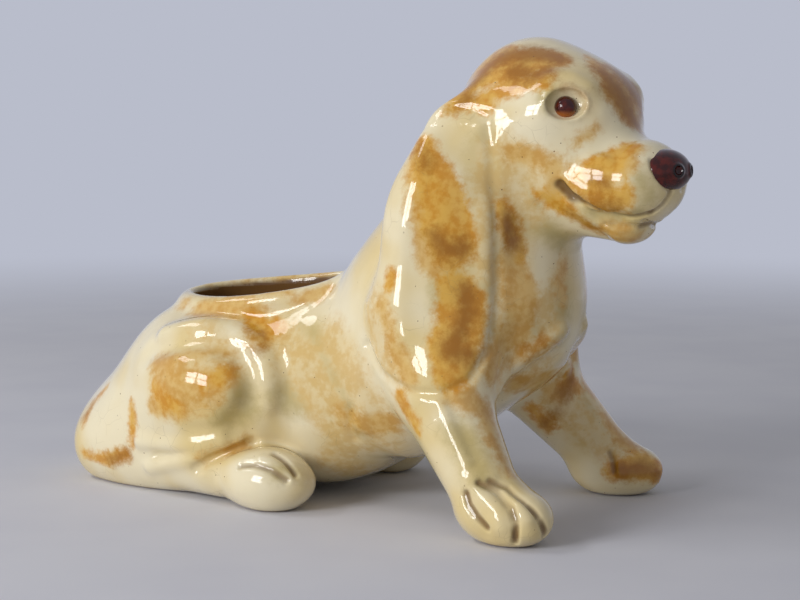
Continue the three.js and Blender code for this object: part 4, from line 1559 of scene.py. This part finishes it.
@dataclass(frozen=True)
class Glaze:
    """Cream dip glaze over pale clay, with olive, tan, ochre, honey and amber washes under it. Some olive
    and tan strokes are painted shade, and the inside colour is painted shade down the hollow's wall.
    """

    name: str = "dipped_glaze"
    cream: str = "ECE0BE"
    cream_warm: str = "E0C98E"
    pooled: str = "6A4610"
    # painted shade: the dark brown that darkens the hollow's wall below the lip
    inside: str = "6E4E2C"
    bare_clay: str = "D8C3A0"
    crazing: str = "8F7A52"
    speck: str = "6B4A22"
    coats: tuple[Coat, ...] = (
        Coat("olive", -5.0, 3.5, 0.72, "AE9A56"),
        Coat("tan", -4.5, 3.0, 0.85, "DAB876", "E4CE9C"),
        Coat("ochre", -2.8, 1.6, 0.9, "CC9A46", "DBB468"),
        Coat("honey", -2.4, 1.3, 0.95, "CE8E1E", "DDAC48"),
        Coat("amber", -3.6, 3.0, 0.82, "98600A"),
    )
    warm: Patches = Patches(26.0, 0.35, 0.7)
    streaks: tuple[Layer, ...] = ((11.0, 3.0, 7.0), (2.4, 3.0, 4.0), (0.6, 2.0, 0.8))
    streak_middle: float = 5.9
    thickness: tuple[Layer, ...] = ((2.4, 3.0, 0.45), (8.0, 2.0, 0.55))
    mottle: tuple[float, float] = (0.4, 0.6)
    pool: tuple[float, float] = (0.4, 1.5)
    pool_cover: float = 0.86
    crack_wander_scale: float = 160
    crack_wander: float = 0.004
    crack_scale: float = 150
    crack_width: tuple[float, float] = (0.004, 0.016)
    cracked: Patches = Patches(14.0, 0.5, 0.68, 0.0, 0.24)
    speck_scale: float = 420
    speck_width: tuple[float, float] = (0.08, 0.16)
    speck_cover: float = 0.45
    specked: Patches = Patches(3.5, 0.6, 0.68)
    rough: Patches = Patches(12.0, 0.3, 0.8, 0.13, 0.21)
    bare_roughness: float = 0.55
    coat_roughness: float = 0.035
    coat_ior: float = 1.43
    ior: float = 1.45
    specular: float = 0.1
    ripples: tuple[Layer, ...] = ((7.0, 1.0, 1.4), (2.2, 1.0, 0.25))
    ripple_strength: float = 0.35
    ripple_depth: float = 0.00025

    def washed(self, n: Nodes) -> bpy.types.NodeSocket:
        """The colour of cream glaze and its washes."""
        wander = n.math("SUBTRACT", n.layered(self.streaks), self.streak_middle)
        mottle = n.ease(n.layered(self.thickness), *self.mottle)
        base = n.mix(n.patches(self.warm), colour(self.cream), colour(self.cream_warm))
        for coat in self.coats:
            tint = colour(coat.deep)
            if coat.pale:
                tint = n.mix(mottle, colour(coat.pale), tint)
            depth = n.math("ADD", n.attribute(coat.wash), wander)
            base = n.mix(n.ease(depth, coat.edge, coat.full, 0.0, coat.cover), base, tint)
        return base

    def crazed(self, n: Nodes, base: bpy.types.NodeSocket) -> bpy.types.NodeSocket:
        """Hair cracks in the glaze, faint and broken.

        Args:
            n: The material's nodes.
            base: The glaze's colour.

        Returns:
            The colour with its cracks.
        """
        wander = n.add("ShaderNodeTexNoise")
        n.fill(wander, {"Vector": n.place(), "Scale": self.crack_wander_scale})
        small = n.add("ShaderNodeVectorMath", operation="SCALE")
        n.link(wander.outputs["Color"], small.inputs[0])
        small.inputs["Scale"].default_value = self.crack_wander
        bent = n.add("ShaderNodeVectorMath", operation="ADD")
        n.link(n.place(), bent.inputs[0])
        n.link(small.outputs[0], bent.inputs[1])
        cells = n.add("ShaderNodeTexVoronoi", feature="DISTANCE_TO_EDGE")
        n.fill(cells, {"Vector": bent.outputs[0], "Scale": self.crack_scale})
        line = n.ease(cells.outputs["Distance"], *self.crack_width, 1.0, 0.0)
        return n.mix(n.math("MULTIPLY", line, n.patches(self.cracked)), base, colour(self.crazing))

    def specks(self, n: Nodes, base: bpy.types.NodeSocket) -> bpy.types.NodeSocket:
        """The colour with rare dark specks in it."""
        cells = n.add("ShaderNodeTexVoronoi", feature="F1")
        n.fill(cells, {"Vector": n.place(), "Scale": self.speck_scale})
        dot = n.ease(cells.outputs["Distance"], *self.speck_width, 1.0, 0.0)
        rare = n.math("MULTIPLY", n.patches(self.specked), self.speck_cover)
        return n.mix(n.math("MULTIPLY", dot, rare), base, colour(self.speck))

    def build(self) -> bpy.types.Material:
        """Makes the material."""
        material = bpy.data.materials.new(self.name)
        n = Nodes(material)
        pool = n.ease(n.attribute("pool"), *self.pool, 0.0, self.pool_cover)
        base = n.mix(pool, self.crazed(n, self.washed(n)), colour(self.pooled))
        # painted shade: the hollow's wall turns to the inside colour further below the lip
        base = n.mix(n.attribute("inside"), self.specks(n, base), colour(self.inside))
        foot = n.attribute("foot")
        bare = n.math("MULTIPLY", foot, self.bare_roughness)
        ripple = n.bump(n.layered(self.ripples), self.ripple_strength, self.ripple_depth)
        values = {
            "Base Color": n.mix(foot, base, colour(self.bare_clay)),
            "Roughness": n.math("ADD", n.patches(self.rough), bare),
            "Coat Weight": n.math("SUBTRACT", 1.0, foot),
            "Coat Roughness": self.coat_roughness,
            "Coat IOR": self.coat_ior,
            "IOR": self.ior,
            "Specular IOR Level": self.specular,
            "Normal": ripple,
            "Coat Normal": ripple,
        }
        n.surface(n.fill(n.add("ShaderNodeBsdfPrincipled"), values))
        return material


@dataclass(frozen=True)
class DarkGlaze:
    """A thick dark oxide glaze that breaks lighter where it runs thin, with a ring colour of its own: dark
    nostril rings on the nose, and on each eye a painted glow along the bead's lower part.
    """

    name: str
    deep: str
    thin: str
    ring_and_painted_glow: str
    rough: Patches
    cloud: Patches = Patches(2.4, 0.4, 0.68, detail=3.0)
    ring_and_painted_glow_range: tuple[float, float] = (0.2, 0.9)
    coat_roughness: float = 0.03
    coat_ior: float = 1.38
    specular: float = 0.1
    ripples: tuple[float, float] = (1.6, 2.0)
    ripple_strength: float = 0.3
    ripple_depth: float = 0.0002

    def build(self) -> bpy.types.Material:
        """Makes the material."""
        material = bpy.data.materials.new(self.name)
        n = Nodes(material)
        base = n.mix(n.patches(self.cloud), colour(self.deep), colour(self.thin))
        values = {
            # nostril rings on the nose; on an eye, a painted glow that is lighter along the bead's lower
            # part
            "Base Color": n.mix(n.ease(n.attribute("ring_and_painted_glow"), *self.ring_and_painted_glow_range), base, colour(self.ring_and_painted_glow)),
            "Roughness": n.patches(self.rough),
            "Coat Weight": 1.0,
            "Coat Roughness": self.coat_roughness,
            "Coat IOR": self.coat_ior,
            "Specular IOR Level": self.specular,
            "Normal": n.bump(n.noise(*self.ripples), self.ripple_strength, self.ripple_depth),
        }
        n.surface(n.fill(n.add("ShaderNodeBsdfPrincipled"), values))
        return material


NOSE_GLAZE = DarkGlaze(
    "nose_glaze", deep="340A04", thin="541406", ring_and_painted_glow="140300", rough=Patches(1.5, 0.3, 0.8, 0.1, 0.2)
)
# the eyes' rim colour A0561C is a painted glow, lighter reddish brown along each bead's lower part
EYE_GLAZES = {
    side: DarkGlaze(
        f"{side}_eye_glaze",
        deep="3A0C06",
        thin="5A1A08",
        ring_and_painted_glow="A0561C",
        rough=Patches(1.5, 0.3, 0.8, 0.06, 0.16),
    )
    for side in ("right", "left")
}


# Building the pieces


@dataclass
class Maker:
    """Makes the puppy's pieces, one for each clay piece of the frame."""

    puppy: Puppy
    shift: np.ndarray
    washes: dict[str, WashSet]
    glaze: bpy.types.Material
    skinner: Skinner = field(default_factory=Skinner)
    body_box: Box = Box((-124, -52, -2), (76, 52, 90), 1.06)
    head_box: Box = Box((-4, -36, 80), (112, 36, 154), 0.66)
    ear_box: Box = Box((8, -52, 38), (76, -2, 144), 0.75)
    foreleg_box: Box = Box((10, -60, -2), (92, -6, 78), 0.7)
    hind_paw_box: Box = Box((-52, -56, -2), (4, -16, 26), 0.6)
    tail_box: Box = Box((-130, -12, -2), (-80, 52, 46), 0.8)
    nose_reach: float = 11
    nose_step: float = 0.3
    eye_reach: float = 5
    eye_step: float = 0.25
    foot_slope: float = -0.8
    foot_height: float = 0.6

    def mesh(self, name: str, skin: Skin, numbers: dict[str, np.ndarray]) -> bpy.types.Object:
        """A Blender object from a skin.

        Args:
            name: The piece's name.
            skin: Its closed surface.
            numbers: Named values for each vertex, for the finish to read.

        Returns:
            The object, linked to the scene.
        """
        mesh = bpy.data.meshes.new(name)
        places = (skin.vertices + self.shift) * MM
        mesh.from_pydata(places.tolist(), [], skin.quads.tolist())
        mesh.polygons.foreach_set("use_smooth", np.ones(len(mesh.polygons), bool))
        for key, values in numbers.items():
            attribute = mesh.attributes.new(key, "FLOAT", "POINT")
            attribute.data.foreach_set("value", values.astype(np.float32))
        mesh.update()
        mesh.normals_split_custom_set_from_vertices(skin.normals.tolist())
        return placed(name, mesh)

    def numbers(self, skin: Skin, hollow: bool) -> dict[str, np.ndarray]:
        """What the glaze reads at each vertex.

        Args:
            skin: The piece's surface.
            hollow: Whether the piece's hollow gets the painted shade on its wall.

        Returns:
            The depth of each wash, of pooled glaze, of the painted shade inside the hollow, and what is
            underfoot, by name.
        """
        p = skin.vertices.T.astype(np.float32)
        run = self.skinner.evaluate
        values = {name: run(wash.depth, p) for name, wash in self.washes.items()}
        values["pool"] = run(self.puppy.pooled, p)
        # painted shade on the hollow's wall, darker further below the lip
        values["inside"] = run(self.puppy.shade, p).astype(np.float32) * hollow
        underfoot = (skin.normals[:, 2] < self.foot_slope) & (p[2] < self.foot_height)
        values["foot"] = underfoot.astype(np.float32)
        return values

    def settle(self, piece: bpy.types.Object, finish: bpy.types.Material, node: str) -> None:
        """Gives a piece its finish and its place in the frame.

        Args:
            piece: The piece.
            finish: Its material.
            node: The frame's node that it stands for.
        """
        piece.data.materials.append(finish)
        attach(piece, "root")
        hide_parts(node)
        LOG.info("%s: %d vertices", piece.name, len(piece.data.vertices))

    def glazed(self, node: str, form: Form, box: Box, slot: str) -> None:
        """Makes a clay piece dipped in the glaze.

        Args:
            node: The frame's node that it stands for.
            form: Its form.
            box: Where it is meshed.
            slot: Not used.
        """
        skin = self.skinner.skin(form, box)
        piece = self.mesh(f"{node}_glazed", skin, self.numbers(skin, node == "body_pot"))
        self.settle(piece, self.glaze, node)

    def pair(self, name: str, form: Form, blend: Form, box: Box, slot: str) -> None:
        """Makes a right-hand limb and the left-hand one that mirrors it.

        Args:
            name: The limb's name without its side.
            form: Its form, written out on the right.
            blend: How far its fillet reaches.
            box: Where the right-hand one is meshed.
            slot: Its material slot.
        """
        self.glazed(f"right_{name}", partial(self.puppy.limb, form, blend, 1), box, slot)
        self.glazed(f"left_{name}", partial(self.puppy.limb, form, blend, -1), box.twin(), slot)

    def dark(self, node: str, form: Form, box: Box, finish: DarkGlaze, ring_and_painted_glow: Form) -> None:
        """Makes a nose or eye in its own dark glaze.

        Args:
            node: The frame's node that it stands for.
            form: Its form.
            box: Where it is meshed.
            finish: Its glaze.
            ring_and_painted_glow: How near points of the head's frame lie to the nostril rings, and on an
                eye how low they lie on the bead, for its painted glow.
        """
        skin = self.skinner.skin(form, box)
        q = self.puppy.head.place.inward(skin.vertices.T.astype(np.float32))
        piece = self.mesh(f"{node}_glazed", skin, {"ring_and_painted_glow": ring_and_painted_glow(q)})
        self.settle(piece, finish.build(), node)

    def home(self, at: Vec) -> Vec:
        """A place of the head's frame, in the puppy's."""
        return tuple(self.puppy.head.place.outward(column(at))[:, 0])

    def build(self) -> None:
        """Makes every piece."""
        puppy = self.puppy
        self.glazed("body_pot", puppy.body_pot, self.body_box, "cream_glaze")
        self.glazed("head", puppy.hollow_head, self.head_box, "cream_glaze")
        self.pair("ear", puppy.ear.form, puppy.ear_blend, self.ear_box, "honey_glaze")
        leg_blend = partial(puppy.even, puppy.leg_fillet)
        paw_blend = partial(puppy.even, puppy.paw_fillet)
        self.pair("foreleg", puppy.foreleg.form, leg_blend, self.foreleg_box, "cream_glaze")
        self.pair("hind_paw", puppy.hind_paw.form, paw_blend, self.hind_paw_box, "cream_glaze")
        tail = partial(puppy.limb, puppy.tail.form, partial(puppy.even, puppy.tail_fillet), 1)
        self.glazed("tail", tail, self.tail_box, "honey_glaze")
        nose_box = Box.around(self.home(puppy.nose.pad.at), self.nose_reach, self.nose_step)
        self.dark("nose", puppy.nose_pad, nose_box, NOSE_GLAZE, puppy.nose.rings)
        for name, side in (("right", 1), ("left", -1)):
            bead = partial(puppy.eye_bead, side)
            box = Box.around(self.home(sided(puppy.eye.at, side)), self.eye_reach, self.eye_step)
            self.dark(f"{name}_eye", bead, box, EYE_GLAZES[name], puppy.eye.glow)


# Specks that follow the glaze


@dataclass(frozen=True)
class Specks:
    """Iron specks burnt through the glaze, scattered over it by a Geometry Nodes tree."""

    per_square_metre: float = 3200.0
    radius: float = 0.22
    seed: int = 7
    tint: str = "5E3C1A"
    tint_light: str = "8A5A2A"
    clouds: Patches = Patches(4.0, 0.35, 0.65)
    roughness: float = 0.25
    hidden_from: float = 0.5
    smallest: Vec = (0.45, 0.45, 0.14)
    largest: Vec = (1.25, 1.25, 0.22)

    def finish(self) -> bpy.types.Material:
        """The specks' dark iron finish."""
        material = bpy.data.materials.new("iron_speck")
        n = Nodes(material)
        base = n.mix(n.patches(self.clouds), colour(self.tint), colour(self.tint_light))
        values = {"Base Color": base, "Roughness": self.roughness}
        n.surface(n.fill(n.add("ShaderNodeBsdfPrincipled"), values))
        return material

    def given(self) -> dict[str, tuple[str, object]]:
        """The tree's inputs: what each is and its value."""
        return {
            "Specks per square metre": ("Float", self.per_square_metre),
            "Speck radius": ("Float", self.radius * MM),
            "Seed": ("Int", self.seed),
            "Finish": ("Material", self.finish()),
        }

    def tree(self, inputs: dict[str, tuple[str, object]]) -> bpy.types.GeometryNodeTree:
        """The tree that scatters low domes over a surface.

        Args:
            inputs: The tree's inputs beside the surface, with what each is.

        Returns:
            The tree.
        """
        tree = bpy.data.node_groups.new("scattered_specks", "GeometryNodeTree")
        sockets = {"Surface": "Geometry", **{name: kind for name, (kind, _) in inputs.items()}}
        for name, kind in sockets.items():
            tree.interface.new_socket(name, in_out="INPUT", socket_type=f"NodeSocket{kind}")
        tree.interface.new_socket("Specks", in_out="OUTPUT", socket_type="NodeSocketGeometry")
        new = tree.nodes.new
        given = new("NodeGroupInput")
        scatter = new("GeometryNodeDistributePointsOnFaces")
        dome = new("GeometryNodeMeshIcoSphere")
        dome.inputs["Subdivisions"].default_value = 1
        size = new("FunctionNodeRandomValue")
        size.data_type = "FLOAT_VECTOR"
        size.inputs["Min"].default_value = self.smallest
        size.inputs["Max"].default_value = self.largest
        place = new("GeometryNodeInstanceOnPoints")
        real = new("GeometryNodeRealizeInstances")
        paint = new("GeometryNodeSetMaterial")
        result = new("NodeGroupOutput")
        for source, out, into, socket in (
            (given, "Surface", scatter, "Mesh"),
            (given, "Specks per square metre", scatter, "Density"),
            (given, "Seed", scatter, "Seed"),
            (given, "Speck radius", dome, "Radius"),
            (given, "Seed", size, "Seed"),
            (scatter, "Points", place, "Points"),
            (scatter, "Rotation", place, "Rotation"),
            (dome, "Mesh", place, "Instance"),
            (size, "Value", place, "Scale"),
            (place, "Instances", real, "Geometry"),
            (real, "Geometry", paint, "Geometry"),
            (given, "Finish", paint, "Material"),
            (paint, "Geometry", result, "Specks"),
        ):
            tree.links.new(source.outputs[out], into.inputs[socket])
        return tree

    def ground(self, glazed: Sequence[bpy.types.Object]) -> bpy.types.Object:
        """The glazed pieces' faces that are open to the air, as one mesh.

        Args:
            glazed: The pieces.

        Returns:
            An object with that mesh.
        """
        source = bpy.data.meshes.new("speck_ground")
        corners: list[np.ndarray] = []
        faces: list[np.ndarray] = []
        start = 0
        for piece in glazed:
            mesh = piece.data
            co = np.empty(len(mesh.vertices) * 3, np.float32)
            mesh.vertices.foreach_get("co", co)
            hidden = np.zeros(len(mesh.vertices), np.float32)
            # skips faces deep in the painted shade inside the hollow, and the bare foot
            for name in ("inside", "foot"):
                values = np.empty(len(mesh.vertices), np.float32)
                mesh.attributes[name].data.foreach_get("value", values)
                hidden = np.maximum(hidden, values)
            quads = np.empty(len(mesh.loops), np.int32)
            mesh.loops.foreach_get("vertex_index", quads)
            quads = quads.reshape(-1, 4)
            faces.append(quads[hidden[quads].max(1) < self.hidden_from] + start)
            corners.append(co.reshape(-1, 3))
            start += len(mesh.vertices)
        source.from_pydata(np.concatenate(corners).tolist(), [], np.concatenate(faces).tolist())
        return placed("speck_ground", source)

    def build(self, glazed: Sequence[bpy.types.Object]) -> None:
        """Scatters the specks over the glazed pieces, as one plain mesh.

        Args:
            glazed: The pieces.
        """
        inputs = self.given()
        holder = self.ground(glazed)
        modifier = holder.modifiers.new("specks", "NODES")
        modifier.node_group = self.tree(inputs)
        for item in modifier.node_group.interface.items_tree:
            if item.name in inputs:
                modifier[item.identifier] = inputs[item.name][1]
        holder.update_tag()
        graph = bpy.context.evaluated_depsgraph_get()
        mesh = bpy.data.meshes.new_from_object(holder.evaluated_get(graph), depsgraph=graph)
        bpy.data.objects.remove(holder)
        mesh.name = "glaze_specks"
        piece = placed("glaze_specks", mesh)
        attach(piece, "root")
        LOG.info("glaze_specks: %d vertices", len(mesh.vertices))


# The studio


@dataclass(frozen=True)
class Window:
    """A soft light like a window of panes, which the glaze mirrors as one."""

    name: str
    towards: Vec
    distance: float
    aim: Vec
    pane_width: float
    pane_height: float
    columns: int
    rows: int
    radiance: float
    gap: float = 0.03

    def build(self) -> None:
        """Makes the panes as lamps side by side."""
        out = Vector(self.towards).normalized()
        across = Vector((0, 0, 1)).cross(out).normalized()
        up = out.cross(across)
        power = self.radiance * math.pi * self.pane_width * self.pane_height
        for i in range(self.columns):
            for j in range(self.rows):
                right = (i - (self.columns - 1) / 2) * (self.pane_width + self.gap)
                high = (j - (self.rows - 1) / 2) * (self.pane_height + self.gap)
                at = Vector(self.aim) + out * self.distance + across * right + up * high
                data = bpy.data.lights.new(f"{self.name}_{i}_{j}", "AREA")
                data.shape = "RECTANGLE"
                data.size = self.pane_width
                data.size_y = self.pane_height
                data.energy = power
                lamp = placed(data.name, data)
                lamp.location = at
                lamp.rotation_euler = out.to_track_quat("Z", "Y").to_euler()


@dataclass(frozen=True)
class Studio:
    """A pale floor that fades into a pale background, and soft window light."""

    floor_tint: str = "D9DAE4"
    floor_tint_cool: str = "D5D6E1"
    floor_clouds: Patches = Patches(60.0, 0.3, 0.7)
    floor_reach: float = 6.0
    background: str = "B9BDCB"
    fill_strength: float = 0.3
    fade_from: float = 0.35
    fade_to: float = 1.1
    windows: tuple[Window, ...] = (
        Window(
            "side_window",
            towards=(-0.40, -1.10, 0.32),
            distance=1.35,
            aim=(0.02, 0.0, 0.08),
            pane_width=0.235,
            pane_height=0.235,
            columns=2,
            rows=2,
            radiance=14.8,
        ),
        Window(
            "high_window",
            towards=(-0.62, -0.34, 0.74),
            distance=1.3,
            aim=(0.0, 0.0, 0.06),
            pane_width=0.28,
            pane_height=0.24,
            columns=2,
            rows=1,
            radiance=6.2,
        ),
    )

    def world(self) -> None:
        """Pale to the camera and to reflections, softer as a light."""
        world = bpy.data.worlds.new("studio")
        bpy.context.scene.world = world
        n = Nodes(world)
        path = n.add("ShaderNodeLightPath").outputs
        seen = n.math("MAXIMUM", path["Is Camera Ray"], path["Is Glossy Ray"])
        seen = n.math("MAXIMUM", seen, path["Is Transmission Ray"])
        soft = {"Color": colour("FFFFFF"), "Strength": self.fill_strength}
        pale = {"Color": colour(self.background), "Strength": 1.0}
        lights = (n.fill(n.add("ShaderNodeBackground"), values) for values in (soft, pale))
        n.surface(n.blend(seen, *lights), "ShaderNodeOutputWorld")

    def floor(self) -> None:
        """A plain pale floor, which fades into the background away from the puppy."""
        mesh = bpy.data.meshes.new("studio_floor")
        reach = self.floor_reach
        corners = [(-reach, -reach, 0), (reach, -reach, 0), (reach, reach, 0), (-reach, reach, 0)]
        mesh.from_pydata(corners, [], [(0, 1, 2, 3)])
        floor = placed("studio_floor", mesh)
        material = bpy.data.materials.new("floor_paper")
        n = Nodes(material)
        base = n.mix(n.patches(self.floor_clouds), colour(self.floor_tint), colour(self.floor_tint_cool))
        paper = n.fill(n.add("ShaderNodeBsdfDiffuse"), {"Color": base})
        glow = n.fill(n.add("ShaderNodeEmission"), {"Color": colour(self.background)})
        away = n.add("ShaderNodeVectorMath", operation="LENGTH")
        n.link(n.place(), away.inputs[0])
        far = n.ease(away.outputs["Value"], self.fade_from, self.fade_to)
        path = n.add("ShaderNodeLightPath").outputs
        seen = n.math("MAXIMUM", path["Is Camera Ray"], path["Is Glossy Ray"])
        n.surface(n.blend(n.math("MULTIPLY", far, seen), paper, glow))
        mesh.materials.append(material)

    def build(self) -> None:
        """Makes the whole studio."""
        self.world()
        self.floor()
        for window in self.windows:
            window.build()
        bpy.context.scene.view_settings.view_transform = "Standard"


def tooled(puppy: Puppy, layout: Layout) -> Puppy:
    """The puppy with every line of tooling laid on it."""
    lines: list[Line] = []
    for tool in (*HEAD_TOOLING, *EAR_TOOLING, *BODY_TOOLING, *PAW_TOOLING):
        widths = [tool.width] * len(tool.pixels)
        lines += layout.lay(tool.name, tool.pixels, widths, tool.height, tool.sides)
    return Puppy(lines=tuple(lines))


def wash_sets(layout: Layout, camera: Camera) -> dict[str, WashSet]:
    """The washes of each colour, laid on the clay."""
    scale = camera.distance / camera.focal
    sets = {
        "honey": HONEY_WASHES,
        "ochre": OCHRE_WASHES,
        "amber": AMBER_WASHES,
        "olive": OLIVE_WASHES,
        "tan": TAN_WASHES,
    }
    laid: dict[str, WashSet] = {}
    for name, washes in sets.items():
        lines: list[Line] = []
        for wash in washes:
            pixels = [(x, y) for x, y, _ in wash.dabs]
            widths = [r * scale for _, _, r in wash.dabs]
            lines += layout.lay(wash.name, pixels, widths, 0.0, wash.sides)
        laid[name] = WashSet(lines)
    return laid


def frame_shift(puppy: Puppy) -> np.ndarray:
    """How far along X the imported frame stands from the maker's, in millimetres."""
    low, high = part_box("right_eye")
    home = puppy.head.place.outward(column(puppy.eye.at))[:, 0]
    return np.array([(low[0] + high[0]) / 2 / MM - home[0], 0, 0])


def main() -> None:
    """Builds the looks round the frame."""
    logging.basicConfig(level=logging.INFO, format="%(message)s")
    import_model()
    puppy = Puppy()
    shift = frame_shift(puppy)
    LOG.info("the frame stands %s mm from the maker's frame", np.round(shift, 2))
    camera = Camera()
    camera.build(shift)
    layout = Layout(camera, puppy.blank, puppy.head.place)
    washes = wash_sets(layout, camera)
    puppy = tooled(puppy, layout)
    Maker(puppy, shift, washes, Glaze().build()).build()
    glazed = [o for o in bpy.context.scene.objects if "inside" in getattr(o.data, "attributes", {})]
    Specks().build(glazed)
    Studio().build()
    bpy.context.view_layer.update()


if __name__ == "__main__":
    main()
